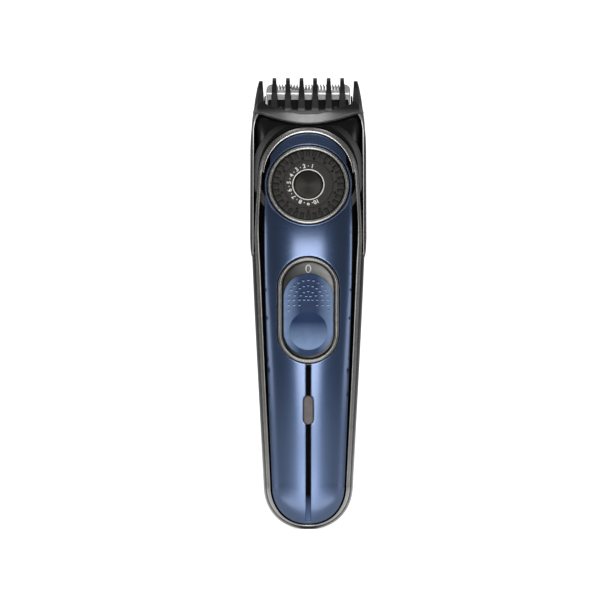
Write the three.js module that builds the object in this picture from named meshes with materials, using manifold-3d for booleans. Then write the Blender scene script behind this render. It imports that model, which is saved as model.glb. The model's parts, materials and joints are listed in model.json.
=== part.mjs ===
// A cordless beard trimmer with a dial-set comb, as an assembly of separate solids.
// Millimetres, +Z up towards the blade, the face with the dial looks along -Y, +X is its right-hand side.
// The handle stands upright and the head leans back from it by LEAN, after a bend of BEND_RADIUS.
// Body coordinates are x, y (depth, negative in front) and t (distance along the bent centreline).
// The head's own frame has its origin where the bend ends and its +Z along the leaning centreline.
import * as THREE from 'three';
import { mergeVertices } from 'three/addons/utils/BufferGeometryUtils.js';
import Module from 'manifold-3d';

const wasm = await Module();
wasm.setup();

// ---------------------------------------------------------------- driving dimensions
const GAP = 0.3; // clearance between neighbouring pieces
const DEPTH_SHIFT = -3.186; // puts the whole box's centre at y = 0
const FAR = 200; // reach of a cutter that passes right through

// Centreline
const LEAN = THREE.MathUtils.degToRad(16);
const BEND_START = 92;
const BEND_RADIUS = 86;
const BEND_END = BEND_START + BEND_RADIUS * LEAN;
const HEAD_Y = BEND_RADIUS * (1 - Math.cos(LEAN));
const HEAD_Z = BEND_START + BEND_RADIUS * Math.sin(LEAN);

// Body section: superellipses whose half width and depths pass through these [t, value] stations
const HALF_WIDTH = [[17, 17.1], [106, 21.5], [124, 21.2], [160, 20.8]];
const FRONT_DEPTH = [[17, 14.8], [60, 15], [116, 12], [152, 8.9], [160, 8.4]];
const BACK_DEPTH = [[17, 13], [60, 15], [116, 11], [154, 8.4], [160, 8]];
const SECTION_POWER = 2.7;
const BASE_HEIGHT = 17; // height of the rounded base
const BASE_POWER = 2.2;
const BASE_FLAT = 0.98; // below 1, leaves a flat foot at the bottom
const FOOT_DEPTH = 0.9; // share of the depth that the base keeps whatever its rounding
const SHELL = 2.9; // wall of the front housing, pocket and all
const REAR_SHELL = 2;
const HEAD_TOP = 154; // t where the rear housing ends

// Front outlines, as [z, half width] stations above the rounded base
const COLLAR = { z: 135.9, r: 21.2, top: 153.8 };
const RING = {
  bottom: 1, innerBottom: 1.6, proud: 0.4, width: 1.4, arcZ: 133.9, arcRadius: 19.06, arcInner: 16.9,
};
const RING_EDGE = [[17, 15.8], [60, 17.9], [98, 19.5], [115, 20.2], [136, 18.95]];
const PLATE = { bottom: 1.95, arcRadius: 16.6, shoulder: 14.5, dialZ: 130.4, dialRadius: 16.4 };
const PLATE_EDGE = [[17, 13.9], [49, 15.2], [87, 16.4], [113, 16.8], [131, 16.4]];
const RECESS = 1.7; // depth of the housing's pocket under the plate and the ring
const SKIN = 1.4; // thickness of the plate and the ring below the body surface
const SIDE_LIMIT = 4.2; // the plate and the ring end this far in front of the parting line

// Dial and comb drive, in the head's frame
const DIAL = { s: 12.15, bossOuter: 16.5, bossInner: 15.85, front: -12.4, back: -9.4, radius: 13.7 };
const BEZEL = { outer: 15.45, inner: 14.05, front: -12.6, back: -8.7 };
const PINION = { teeth: 10, pitchRadius: 2.4, addendum: 0.35, dedendum: 0.55, front: -6.4, back: -5 };
const WELL = { radius: 15.5, front: -8.4, floor: -7, rim: -6.7 };
const DIAL_CAP = { radius: 5.4, front: -12.5, back: -11.8 };
const CARRIAGE = {
  front: -6.4, back: -5, halfWidth: 11.9, bottom: -4, top: 18,
  tab: { front: -3.2, back: -0.8, bottom: -4, top: 4, reach: 20.8 },
};
const COMB_TRAVEL = [-0.5, 8.6];

// Power switch, in its own frame that follows the front surface
const SWITCH = {
  z: 83.15, y: -13.95, lean: THREE.MathUtils.degToRad(3.5), halfWidth: 11.65, halfHeight: 20.25, wall: 1.75,
};
const BUTTON = { halfWidth: 9.4, halfHeight: 15.6, z: -1.7, travel: 4.2, front: -0.9, back: 1.3 };
const DISH = { radius: 26, depth: 1 }; // thumb dish, cut by a large ball
const POST = { halfWidth: 2, halfHeight: 4 };

// Housing screws, driven from behind
const SCREW = {
  x: 11, low: 24, high: 106.4, boss: 2.3, head: 2, shank: 0.9, headFront: 6.2, headBack: 8, tip: -5.5,
};

// Front details on the handle
const STRIP = { halfWidth: 0.9, bottom: 3.2, top: 62.3 };
const LENS = { halfWidth: 1.85, halfHeight: 5.4, z: 45.2 };

// Comb guard, in the head's frame
const COMB = {
  pitch: 5.18, teeth: 8, outer: 22.25, inner: 21.2, armBottom: -12, toothWidth: 1.5, outerDrop: 1.2,
};
// Side profile of a tooth as [depth, height] points: up the front, over the blade's tips and back under.
const TOOTH = [
  [-10.4, 39.5], [-10.7, 43], [-9.9, 47], [-7.9, 52], [-4.9, 56], [-2, 57.9], [0.3, 58.5], [1.6, 57.8],
  [0.9, 57.1], [-2.4, 56.4], [-5.2, 54.4], [-5.9, 50], [-6.8, 45], [-8.4, 42],
];
// Outer and inner edges of a side arm above its tab, as [half width, height] points, going up and back down.
const ARM_EDGE = [
  [22.25, -5], [22.25, 28], [21.9, 34], [21.3, 41], [20.7, 45], [20.2, 49], [19.6, 53], [18.9, 55.3],
  [17.4, 55.3], [17.4, 48], [18.6, 45.5], [20.6, 42], [21.2, 38],
];
// Neck: [height, half width, front depth, back depth], and the seat cut out of it for the blades.
const NECK_ROWS = [
  [8, 20.3, 9, 8], [38, 20.7, 8.6, 7.6], [41, 20.1, 8.2, 7.3], [43, 18.9, 7, 7], [45, 17.7, 6.2, 6.6],
  [47, 16.9, 5.5, 5.7], [50.8, 16.85, 5.2, 4.8],
];
const NECK = { rearTop: 38.7, collarTop: 38.9, seatHalfWidth: 16.3, seatBottom: 42.3 };

// Blades, in the head's frame
const BLADE = { halfWidth: 16, bottom: 42.9, root: 52.7, tip: 54.9, front: -3.4, back: -2.4, teeth: 26 };
const MOVING = { halfWidth: 14, bottom: 46.1, root: 52.5, tip: 54.5, front: -2.1, back: -1.2, teeth: 22 };
const BLADE_SCREW = { x: 10.5, s: 44.2, head: 1.2, shank: 0.6 };
const STROKE = 0.8;
const DRIVE = { y: 1.3, orbit: 0.8, pin: 0.6 };

// Inside the handle and the head
const SOCKET = { y: 3.8, radius: 2.9, length: 9 };
const BATTERY = { radius: 7, y: 2.9, bottom: 14, top: 58 };
const BOARD = { halfWidth: 8.2, front: -6, back: -4.8, bottom: 30, top: 100 };
const MOTOR = { radius: 7.5, halfDepth: 5.4, bottom: 4, top: 26 };

// ---------------------------------------------------------------- small helpers
// Smooth curve through [t, value] stations: cubic Hermite with slopes from the neighbouring stations.
function smooth(stations, t) {
  const last = stations.length - 1;
  if (t <= stations[0][0]) return stations[0][1];
  if (t >= stations[last][0]) return stations[last][1];
  const i = stations.findIndex((station, k) => k < last && t < stations[k + 1][0]);
  const slope = (k) => {
    const a = stations[Math.max(k - 1, 0)];
    const b = stations[Math.min(k + 1, last)];
    return (b[1] - a[1]) / (b[0] - a[0]);
  };
  const [t0, v0] = stations[i];
  const [t1, v1] = stations[i + 1];
  const span = t1 - t0;
  const u = (t - t0) / span;
  const rise = u * u * (3 - 2 * u);
  return v0 * (1 - rise) + v1 * rise + span * u * (1 - u) * ((1 - u) * slope(i) - u * slope(i + 1));
}

// Where a point of the body's own coordinates lies in the upright frame.
function bend(x, y, t) {
  const angle = THREE.MathUtils.clamp((t - BEND_START) / BEND_RADIUS, 0, LEAN);
  const straight = t - BEND_START - angle * BEND_RADIUS;
  const centreY = BEND_RADIUS * (1 - Math.cos(angle)) + straight * Math.sin(angle);
  const centreZ = BEND_START + BEND_RADIUS * Math.sin(angle) + straight * Math.cos(angle);
  return new THREE.Vector3(x, centreY + y * Math.cos(angle), centreZ - y * Math.sin(angle));
}

// A closed geometry as a manifold solid.
function solid(geometry) {
  geometry.deleteAttribute('normal');
  geometry.deleteAttribute('uv');
  const merged = mergeVertices(geometry, 1e-4);
  return new wasm.Manifold(new wasm.Mesh({
    numProp: 3,
    vertProperties: new Float32Array(merged.attributes.position.array),
    triVerts: new Uint32Array(merged.index.array),
  }));
}

// A solid between rings of points, all with the same count, closed by a fan at each end.
function loft(rings) {
  const sides = rings[0].length;
  const points = rings.flat();
  const faces = [];
  for (let r = 0; r < rings.length - 1; r++) {
    for (let i = 0; i < sides; i++) {
      const a = r * sides + i;
      const b = r * sides + ((i + 1) % sides);
      faces.push(a, b, b + sides, a, b + sides, a + sides);
    }
  }
  [0, rings.length - 1].forEach((r, end) => {
    const centre = points.length;
    const sum = rings[r].reduce((total, p) => total.add(p), new THREE.Vector3());
    points.push(sum.divideScalar(sides));
    for (let i = 0; i < sides; i++) {
      const a = r * sides + i;
      const b = r * sides + ((i + 1) % sides);
      faces.push(...(end ? [a, b, centre] : [b, a, centre]));
    }
  });
  const volume = faces.reduce((total, a, k) => {
    if (k % 3) return total;
    return total + points[a].dot(points[faces[k + 1]].clone().cross(points[faces[k + 2]]));
  }, 0);
  const geometry = new THREE.BufferGeometry().setFromPoints(points);
  geometry.setIndex(volume < 0 ? faces.reverse() : faces);
  return solid(geometry);
}

function box(x0, x1, y0, y1, z0, z1) {
  const geometry = new THREE.BoxGeometry(x1 - x0, y1 - y0, z1 - z0);
  return solid(geometry.translate((x0 + x1) / 2, (y0 + y1) / 2, (z0 + z1) / 2));
}

// Round bar along Y, from y0 to y1.
function rodY(radius, y0, y1, x, z, sides = 24) {
  const geometry = new THREE.CylinderGeometry(radius, radius, y1 - y0, sides);
  return solid(geometry.translate(x, (y0 + y1) / 2, z));
}

// Round bar along Z, from z0 to z1.
function rodZ(radius, z0, z1, x, y, sides = 24) {
  const geometry = new THREE.CylinderGeometry(radius, radius, z1 - z0, sides);
  return solid(geometry.rotateX(Math.PI / 2).translate(x, y, (z0 + z1) / 2));
}

// Plate whose outline lies in X and Z, from y0 (front) to y1 (back).
function prism(points, y0, y1) {
  const shape = new THREE.Shape(points.map(([x, z]) => new THREE.Vector2(x, z)));
  const geometry = new THREE.ExtrudeGeometry(shape, { depth: y1 - y0, bevelEnabled: false });
  return solid(geometry.rotateX(Math.PI / 2).translate(0, y1, 0));
}

// Plate whose outline lies in Y and Z, from x0 to x1.
function sidePrism(points, x0, x1) {
  const shape = new THREE.Shape(points.map(([y, z]) => new THREE.Vector2(y, z)));
  const geometry = new THREE.ExtrudeGeometry(shape, { depth: x1 - x0, bevelEnabled: false });
  geometry.rotateX(Math.PI / 2).rotateZ(Math.PI / 2);
  return solid(geometry.translate(x0, 0, 0));
}

// Closed outline from its right-hand half, listed upwards from the bottom.
function mirrored(half) {
  const left = half.filter(([x]) => x > 0.01).map(([x, z]) => [-x, z]).reverse();
  return half.concat(left);
}

// Outline with straight sides and round ends.
function stadium(halfWidth, halfHeight, z, steps = 12) {
  const points = [];
  for (let i = 0; i <= 2 * steps + 1; i++) {
    const upper = i <= steps;
    const angle = ((upper ? i : i - 1) / steps) * Math.PI;
    const centre = (upper ? 1 : -1) * (halfHeight - halfWidth);
    points.push([halfWidth * Math.cos(angle), z + centre + halfWidth * Math.sin(angle)]);
  }
  return points;
}

function union(solids) {
  return solids.reduce((total, next) => total.add(next));
}

// ---------------------------------------------------------------- body surface
// Values of t along the body, closer together where it curves.
function stations(end, inset) {
  const list = [];
  const baseSteps = 5;
  for (let i = 0; i < baseSteps; i++) {
    list.push(inset + (BASE_HEIGHT - inset) * (1 - Math.cos((i / baseSteps) * Math.PI / 2)));
  }
  for (let t = BASE_HEIGHT; t < BEND_START; t += 18.75) list.push(t);
  for (let i = 0; i < 3; i++) list.push(BEND_START + ((BEND_END - BEND_START) * i) / 3);
  for (let t = BEND_END; t < end; t += 12.6) list.push(t);
  return list.concat(end);
}

// Half width and depths of the body at t, with its surface set in by inset.
function section(t, inset) {
  const u = THREE.MathUtils.clamp((t - inset) / (BASE_HEIGHT - inset), 0, 1);
  const round = (1 - (BASE_FLAT * (1 - u)) ** BASE_POWER) ** (1 / BASE_POWER);
  const deep = FOOT_DEPTH + (1 - FOOT_DEPTH) * round;
  return {
    width: (smooth(HALF_WIDTH, t) - inset) * round,
    front: (smooth(FRONT_DEPTH, t) - inset) * deep,
    back: (smooth(BACK_DEPTH, t) - inset) * deep,
  };
}

// Front (side -1) or rear (side 1) half of the body, with its surface set in by inset.
// It begins at distance start from the centreline; a negative start reaches past it.
function halfBody(side, inset, start, end) {
  const steps = 10;
  return loft(stations(end, inset).map((t) => {
    const { width, front, back } = section(t, inset);
    const depth = side < 0 ? front : back;
    const ring = [];
    for (let i = 0; i <= steps; i++) {
      const angle = (i / steps) * Math.PI;
      const x = width * Math.sign(Math.cos(angle)) * Math.abs(Math.cos(angle)) ** (2 / SECTION_POWER);
      const y = depth * Math.abs(Math.sin(angle)) ** (2 / SECTION_POWER);
      ring.push(bend(x, side * Math.max(y, start), t));
    }
    if (start < 0) ring.push(bend(-width, side * start, t), bend(width, side * start, t));
    return ring;
  }));
}

// Right-hand half of an outline with a rounded bottom, up to the last station of its edge.
function lowerOutline(foot, edge, inset) {
  const half = [];
  const steps = 7;
  for (let i = 0; i < steps; i++) {
    const u = 1 - Math.cos((i / steps) * Math.PI / 2);
    const round = (1 - (1 - u) ** BASE_POWER) ** (1 / BASE_POWER);
    half.push([(edge[0][1] - inset) * round, foot + (BASE_HEIGHT - foot) * u]);
  }
  const top = edge[edge.length - 1][0];
  const parts = 8;
  for (let i = 0; i <= parts; i++) {
    const z = BASE_HEIGHT + ((top - BASE_HEIGHT) * i) / parts;
    half.push([smooth(edge, z) - inset, z]);
  }
  return half;
}

// Points of an arc about (0, z), from half width x to the top.
function topArc(radius, z, x) {
  const start = Math.acos(x / radius);
  const steps = 8;
  const points = [];
  for (let i = 0; i <= steps; i++) {
    const angle = start + (Math.PI / 2 - start) * (i / steps);
    points.push([radius * Math.cos(angle), z + radius * Math.sin(angle)]);
  }
  return points;
}

function ringOutline(foot, inset, radius) {
  const half = lowerOutline(foot, RING_EDGE, inset);
  const joint = half[half.length - 1][0] - 0.15;
  return mirrored(half.concat(topArc(radius, RING.arcZ, Math.min(joint, radius - 0.1))));
}

function plateOutline() {
  const half = lowerOutline(PLATE.bottom, PLATE_EDGE, 0);
  for (const x of [15.9, 15.3]) {
    half.push([x, PLATE.dialZ + Math.sqrt(PLATE.dialRadius ** 2 - x ** 2)]);
  }
  half.push([PLATE.shoulder, PLATE.dialZ + Math.sqrt(PLATE.dialRadius ** 2 - PLATE.shoulder ** 2)]);
  return mirrored(half.concat(topArc(PLATE.arcRadius, RING.arcZ, PLATE.shoulder)));
}

// Front housing's outline: the body's own sides, then the round collar, cut flat under the comb.
function collarOutline(inset) {
  const radius = COLLAR.r - inset;
  const top = COLLAR.top - inset;
  const half = [[0, -5], [30, -5], [30, COLLAR.z]];
  const last = Math.asin((top - COLLAR.z) / radius);
  const steps = 10;
  for (let i = 0; i <= steps; i++) {
    const angle = last * (i / steps);
    half.push([radius * Math.cos(angle), COLLAR.z + radius * Math.sin(angle)]);
  }
  return mirrored(half.concat([[0, top]]));
}

// ---------------------------------------------------------------- frames
const HEAD = new THREE.Matrix4().makeRotationX(-LEAN).setPosition(0, HEAD_Y, HEAD_Z);
const SWITCH_FRAME = new THREE.Matrix4().makeRotationX(-SWITCH.lean).setPosition(0, SWITCH.y, SWITCH.z);

// A solid made in a tilted frame, in the upright frame.
function upright(part, frame) {
  return part.transform(frame.elements);
}

// ---------------------------------------------------------------- shared cutters
// Side channels that the comb's arms slide in, in the head's frame.
function armChannels() {
  const reach = 6.5;
  const inner = COMB.inner - GAP;
  const bottom = COMB.armBottom + COMB_TRAVEL[0] - GAP;
  return [-1, 1].map((side) => {
    const edges = [side * inner, side * 30].sort((a, b) => a - b);
    return upright(box(edges[0], edges[1], -reach, reach, bottom, 60), HEAD);
  });
}

function screwPlaces() {
  return [SCREW.low, SCREW.high].flatMap((z) => [[-SCREW.x, z], [SCREW.x, z]]);
}

// ---------------------------------------------------------------- housings
function rearHousing() {
  const half = GAP / 2;
  let shell = halfBody(1, 0, half, HEAD_TOP).subtract(halfBody(1, REAR_SHELL, -2, HEAD_TOP + 10));
  const outside = halfBody(1, 0.4, half, HEAD_TOP);
  for (const [x, z] of screwPlaces()) {
    shell = shell.add(rodY(SCREW.boss + 0.9, half, 20, x, z, 20).intersect(outside));
    shell = shell.subtract(rodY(SCREW.shank + GAP, -1, 30, x, z, 12));
    shell = shell.subtract(rodY(SCREW.head + GAP, SCREW.headFront - GAP, 30, x, z, 16));
  }
  shell = shell.subtract(rodZ(SOCKET.radius + GAP, -1, 6, 0, SOCKET.y, 20));
  return shell.subtract(union(armChannels()));
}

function frontHousing() {
  const half = GAP / 2;
  const long = 172;
  const collar = prism(collarOutline(0), -FAR, FAR);
  const cavity = halfBody(-1, SHELL, -2, long).intersect(prism(collarOutline(2), -FAR, FAR));
  let shell = halfBody(-1, 0, half, long).intersect(collar).subtract(cavity);
  // pocket for the plate and the ring
  const pocketArea = prism(ringOutline(RING.bottom - GAP, -GAP, RING.arcRadius + GAP), -FAR, FAR);
  const pocket = halfBody(-1, -2, SIDE_LIMIT - GAP, long).intersect(pocketArea);
  shell = shell.subtract(pocket.subtract(halfBody(-1, RECESS, -5, long)));
  // dial well
  const floor = rodY(WELL.radius, WELL.front, WELL.floor, 0, DIAL.s, 40);
  const rim = rodY(WELL.radius, WELL.front, WELL.rim, 0, DIAL.s, 40);
  const rimBore = rodY(WELL.radius - 1.6, WELL.floor, 0, 0, DIAL.s, 40);
  const aboveWell = rodY(WELL.radius + 0.5, -FAR, WELL.front, 0, DIAL.s, 40);
  shell = shell.subtract(upright(aboveWell, HEAD));
  shell = shell.add(upright(floor.add(rim.subtract(rimBore)), HEAD));
  shell = shell.subtract(upright(rodY(1.9, -30, 0, 0, DIAL.s, 16), HEAD));
  // slots for the carriage's side tabs, and room for the blade drive
  const tab = CARRIAGE.tab;
  const slotTop = tab.top + COMB_TRAVEL[1] + GAP;
  const slot = box(-30, 30, tab.front - GAP, 1, tab.bottom + COMB_TRAVEL[0] - GAP, slotTop);
  shell = shell.subtract(upright(slot, HEAD)).subtract(upright(box(-14, 14, -4.6, 1, 20, 60), HEAD));
  // switch, lens and screw bosses
  const opening = prism(stadium(SWITCH.halfWidth + GAP, SWITCH.halfHeight + GAP, 0), -10, 9);
  shell = shell.subtract(upright(opening, SWITCH_FRAME));
  shell = shell.subtract(prism(stadium(LENS.halfWidth + GAP, LENS.halfHeight + GAP, LENS.z), -30, -5));
  const inside = halfBody(-1, RECESS + 0.5, half, long);
  for (const [x, z] of screwPlaces()) {
    shell = shell.add(rodY(SCREW.boss, -20, -half, x, z, 20).intersect(inside));
    shell = shell.subtract(rodY(SCREW.shank + GAP, SCREW.tip - GAP, 1, x, z, 12));
  }
  return shell.subtract(union(armChannels()));
}

// ---------------------------------------------------------------- fascia
function frontSkin(outset, inset) {
  return halfBody(-1, -outset, SIDE_LIMIT, 172).subtract(halfBody(-1, inset, -5, 182));
}

function trimRing() {
  const outer = prism(ringOutline(RING.bottom, 0, RING.arcRadius), -FAR, FAR);
  const inner = prism(ringOutline(RING.innerBottom, RING.width, RING.arcInner), -FAR, FAR);
  return frontSkin(RING.proud, SKIN).intersect(outer.subtract(inner));
}

function frontPlate() {
  const boss = rodY(DIAL.bossOuter, DIAL.front, -4, 0, DIAL.s, 48);
  const bore = rodY(DIAL.bossInner, -30, 0, 0, DIAL.s, 48);
  let plate = frontSkin(0, SKIN).intersect(prism(plateOutline(), -FAR, FAR));
  const behind = halfBody(-1, SKIN, -5, 172);
  plate = plate.add(upright(boss, HEAD).subtract(behind)).subtract(upright(bore, HEAD));
  const opening = prism(stadium(SWITCH.halfWidth + GAP, SWITCH.halfHeight + GAP, 0), -10, 9);
  plate = plate.subtract(upright(opening, SWITCH_FRAME));
  plate = plate.subtract(prism(stadium(LENS.halfWidth + GAP, LENS.halfHeight + GAP, LENS.z), -30, -5));
  const slot = STRIP.halfWidth + GAP;
  return plate.subtract(box(-slot, slot, -30, -5, STRIP.bottom - GAP, STRIP.top + 3));
}

// Black inlay in the plate's slot, in two lengths, one on each side of the lens.
function centreStrip(bottom, top) {
  return frontSkin(-0.15, SKIN).intersect(box(-STRIP.halfWidth, STRIP.halfWidth, -30, -5, bottom, top));
}

function indicatorLens() {
  const outline = prism(stadium(LENS.halfWidth, LENS.halfHeight, LENS.z), -30, -11.4);
  return outline.intersect(halfBody(-1, -0.3, 1, 100));
}

// ---------------------------------------------------------------- power switch, in its own frame
function switchBezel() {
  const { halfWidth, halfHeight, wall } = SWITCH;
  const outer = prism(stadium(halfWidth, halfHeight, 0), -0.6, 3);
  return outer.subtract(prism(stadium(halfWidth - wall, halfHeight - wall, 0), -2, 4));
}

function switchWell() {
  const step = SWITCH.wall + GAP;
  const flange = prism(stadium(SWITCH.halfWidth, SWITCH.halfHeight, 0), 3.3, 4.2);
  const floor = prism(stadium(SWITCH.halfWidth - step, SWITCH.halfHeight - step, 0), 1.6, 3.5);
  const low = BUTTON.z - POST.halfHeight - GAP;
  const high = BUTTON.z + POST.halfHeight + BUTTON.travel + GAP;
  const slot = box(-POST.halfWidth - GAP, POST.halfWidth + GAP, 0, 6, low, high);
  return flange.add(floor).subtract(slot);
}

function switchButton() {
  const block = prism(stadium(BUTTON.halfWidth, BUTTON.halfHeight, BUTTON.z), BUTTON.front, BUTTON.back);
  const dish = solid(new THREE.SphereGeometry(DISH.radius, 40, 40));
  const z = BUTTON.z - BUTTON.halfHeight + BUTTON.halfWidth;
  return block.subtract(dish.translate([0, BUTTON.front + DISH.depth - DISH.radius, z]));
}

function switchSlider() {
  const { halfWidth, halfHeight } = POST;
  const post = box(-halfWidth, halfWidth, 1.6, 5, BUTTON.z - halfHeight, BUTTON.z + halfHeight);
  return post.add(box(-3.4, 3.4, 4.6, 5.2, BUTTON.z - 5.5, BUTTON.z + 5.5));
}

// ---------------------------------------------------------------- dial and comb drive, in the head's frame
function dialBezel() {
  const bore = rodY(BEZEL.inner, -30, 0, 0, DIAL.s, 48);
  return rodY(BEZEL.outer, BEZEL.front, BEZEL.back, 0, DIAL.s, 48).subtract(bore);
}

function lengthDial() {
  let wheel = rodY(DIAL.radius, DIAL.front, DIAL.back, 0, DIAL.s, 64);
  const notches = 32;
  const depth = 0.5;
  for (let i = 0; i < notches; i++) {
    const notch = box(11.3, 14.5, DIAL.front - 1, DIAL.front + depth, -0.45, 0.45);
    wheel = wheel.subtract(notch.rotate([0, (i / notches) * 360, 0]).translate([0, 0, DIAL.s]));
  }
  const pocket = rodY(DIAL_CAP.radius + GAP, DIAL.front - 1, DIAL.front + 0.9, 0, DIAL.s, 32);
  return wheel.subtract(pocket).subtract(rodY(1.5 + GAP, -11, 0, 0, DIAL.s, 16));
}

function dialPinion() {
  const { teeth, pitchRadius, addendum, dedendum } = PINION;
  const outline = [];
  for (let i = 0; i < teeth; i++) {
    const corners = [[-dedendum, -0.2], [addendum, -0.08], [addendum, 0.08], [-dedendum, 0.2]];
    for (const [radius, share] of corners) {
      const angle = ((i + share) / teeth) * 2 * Math.PI + Math.PI;
      const r = pitchRadius + radius;
      outline.push([r * Math.cos(angle), DIAL.s + r * Math.sin(angle)]);
    }
  }
  const gear = prism(outline, PINION.front, PINION.back);
  return gear.add(rodY(1.5, -10.7, PINION.back, 0, DIAL.s, 16));
}

// Sliding plate with a window for the pinion, a rack down the window's left side and two side tabs.
function combCarriage() {
  const { front, back, halfWidth, bottom, top, tab } = CARRIAGE;
  const rackRoot = PINION.pitchRadius + PINION.dedendum + 0.1;
  const low = DIAL.s - COMB_TRAVEL[1] - 3.6;
  const high = DIAL.s - COMB_TRAVEL[0] + 3.6;
  let plate = box(-7.5, 7.5, front, back, bottom, top);
  plate = plate.subtract(box(-rackRoot, 3.4, front - 1, back + 1, low, high));
  plate = plate.add(box(-halfWidth, halfWidth, front, back, tab.bottom, low - 0.6));
  const pitch = (2 * Math.PI * PINION.pitchRadius) / PINION.teeth;
  for (let i = -8; i <= 2; i++) {
    const z = DIAL.s + (i + 0.5) * pitch;
    if (z - 0.6 < low || z + 0.6 > high) continue;
    const root = -rackRoot - 0.2;
    const tip = -PINION.pitchRadius + PINION.addendum;
    const tooth = [[root, z - 0.3], [tip, z - 0.12], [tip, z + 0.12], [root, z + 0.3]];
    plate = plate.add(prism(tooth, front, back));
  }
  for (const side of [-1, 1]) {
    const [x0, x1] = [side * (halfWidth - 2), side * halfWidth].sort((a, b) => a - b);
    const [x2, x3] = [side * (halfWidth - 1), side * tab.reach].sort((a, b) => a - b);
    plate = plate.add(box(x0, x1, front, tab.back, tab.bottom, low - 0.6));
    plate = plate.add(box(x2, x3, tab.front, tab.back, tab.bottom, low - 0.6));
    plate = plate.add(box(x2, x3, tab.front, tab.back, tab.bottom, tab.top));
  }
  return plate;
}

// Curved leaf under the dial's rim that gives each setting its click.
function detentSpring() {
  const outline = [];
  const steps = 8;
  const spread = THREE.MathUtils.degToRad(35);
  for (const [radius, way] of [[11, 1], [8.6, -1]]) {
    for (let i = 0; i <= steps; i++) {
      const angle = Math.PI / 2 + way * spread * (1 - (2 * i) / steps);
      outline.push([radius * Math.cos(angle), DIAL.s + radius * Math.sin(angle)]);
    }
  }
  return prism(outline, -9.1, -8.7);
}

// ---------------------------------------------------------------- power and drive
function chargingSocket() {
  const body = rodZ(SOCKET.radius, 0.3, SOCKET.length, 0, SOCKET.y, 20);
  const barrel = rodZ(1.8, -1, 7.5, 0, SOCKET.y, 16);
  return body.subtract(barrel).add(rodZ(0.5, 1.5, 8, 0, SOCKET.y, 10));
}

function battery() {
  const cell = rodZ(BATTERY.radius, BATTERY.bottom, BATTERY.top, 0, BATTERY.y, 28);
  return cell.add(rodZ(2.5, BATTERY.top - 0.5, BATTERY.top + 1.5, 0, BATTERY.y, 16));
}

function circuitBoard() {
  const { halfWidth, front, back, bottom, top } = BOARD;
  const board = box(-halfWidth, halfWidth, front, back, bottom, top);
  return board.add(box(-3, 3, back - 0.1, back + 2.5, 66, 74)).add(box(2, 6, back - 0.1, back + 1.6, 80, 88));
}

function statusLight() {
  const z = LENS.z;
  return box(-1.5, 1.5, -9.2, BOARD.front - GAP, z - 1.8, z + 1.8);
}

function slideSwitch() {
  return box(-4, 4, 5.5, 7.2, -9, 9);
}

function motorCan() {
  const { radius, halfDepth, bottom, top } = MOTOR;
  const flats = box(-20, 20, DRIVE.y - halfDepth, DRIVE.y + halfDepth, bottom, top);
  const can = rodZ(radius, bottom, top, 0, DRIVE.y, 32).intersect(flats);
  return can.add(rodZ(2.4, top - 0.5, top + 1.2, 0, DRIVE.y, 20)).subtract(rodZ(1.1, 20, 40, 0, DRIVE.y, 16));
}

function motorCradle() {
  const { radius, halfDepth, bottom } = MOTOR;
  const front = DRIVE.y - halfDepth;
  const base = box(-radius - 1.7, radius + 1.7, front, DRIVE.y + 4.6, bottom - 3.5, bottom - GAP);
  const cheeks = [-1, 1].map((side) => {
    const [x0, x1] = [side * (radius + GAP), side * (radius + 1.7)].sort((a, b) => a - b);
    return box(x0, x1, front, DRIVE.y + 4.2, bottom - 1, bottom + 15);
  });
  return union([base, ...cheeks]);
}

function motorShaft() {
  return rodZ(0.75, 21, 33.4, 0, DRIVE.y, 14);
}

// Disc pressed on the shaft, with the off-centre pin that drives the blade.
function eccentric() {
  const disc = rodZ(2.6, 30, 32.6, 0, DRIVE.y, 20).subtract(rodZ(0.75 + GAP, 29, 34, 0, DRIVE.y, 14));
  const link = rodZ(2.6, 33.7, 34.4, 0, DRIVE.y, 20);
  const side = rodZ(2.6, 32.5, 33.8, 0, DRIVE.y, 20).subtract(rodZ(0.75 + GAP, 32, 34, 0, DRIVE.y, 14));
  return disc.add(side).add(link).add(rodZ(DRIVE.pin, 34.3, 38.2, 0, DRIVE.y + DRIVE.orbit, 12));
}

// ---------------------------------------------------------------- blades, in the head's frame
// Blade plate with a row of teeth along its top.
function bladePlate({ halfWidth, bottom, root, tip, front, back, teeth }, slant) {
  const half = teeth / 2;
  const pitch = (2 * (halfWidth - 1.2)) / teeth;
  const outline = [
    [-halfWidth, bottom], [halfWidth, bottom], [halfWidth, root + 0.8], [halfWidth - 0.9, tip],
  ];
  for (let i = half - 1; i >= -half; i--) {
    const x = (i + 0.5) * pitch;
    outline.push([x + pitch * 0.28 + slant, tip], [x + pitch * 0.2, root]);
    outline.push([x - pitch * 0.2, root], [x - pitch * 0.28 + slant, tip]);
  }
  outline.push([-halfWidth + 0.9, tip], [-halfWidth, root + 0.8]);
  return prism(outline, front, back);
}

function bladeScrewHoles(back) {
  const { x, s, shank } = BLADE_SCREW;
  return union([-1, 1].map((side) => rodY(shank + GAP, -10, back, side * x, s, 12)));
}

function fixedBlade() {
  return bladePlate(BLADE, 0).subtract(bladeScrewHoles(10));
}

function movingBlade() {
  return bladePlate(MOVING, 0.1);
}

function bladeCover() {
  return box(-15.4, 15.4, -4.6, -3.7, BLADE.bottom, 48.4).subtract(bladeScrewHoles(10));
}

function bladeScrew(side) {
  const x = side * BLADE_SCREW.x;
  const head = rodY(BLADE_SCREW.head, -5.7, -4.9, x, BLADE_SCREW.s, 16);
  return head.add(rodY(BLADE_SCREW.shank, -5, 2, x, BLADE_SCREW.s, 12));
}

function bladeHolder() {
  let block = box(-15.6, 15.6, -2.1, 5.2, 42.6, 50.6);
  block = block.subtract(box(-20, 20, -3, MOVING.back + GAP, MOVING.bottom - GAP, 60));
  block = block.subtract(box(-5.2, 5.2, -3, 1.9, 40, 60)).subtract(box(-6.2, 6.2, 1, 3, 40, 48.6));
  return block.subtract(bladeScrewHoles(2.4));
}

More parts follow.
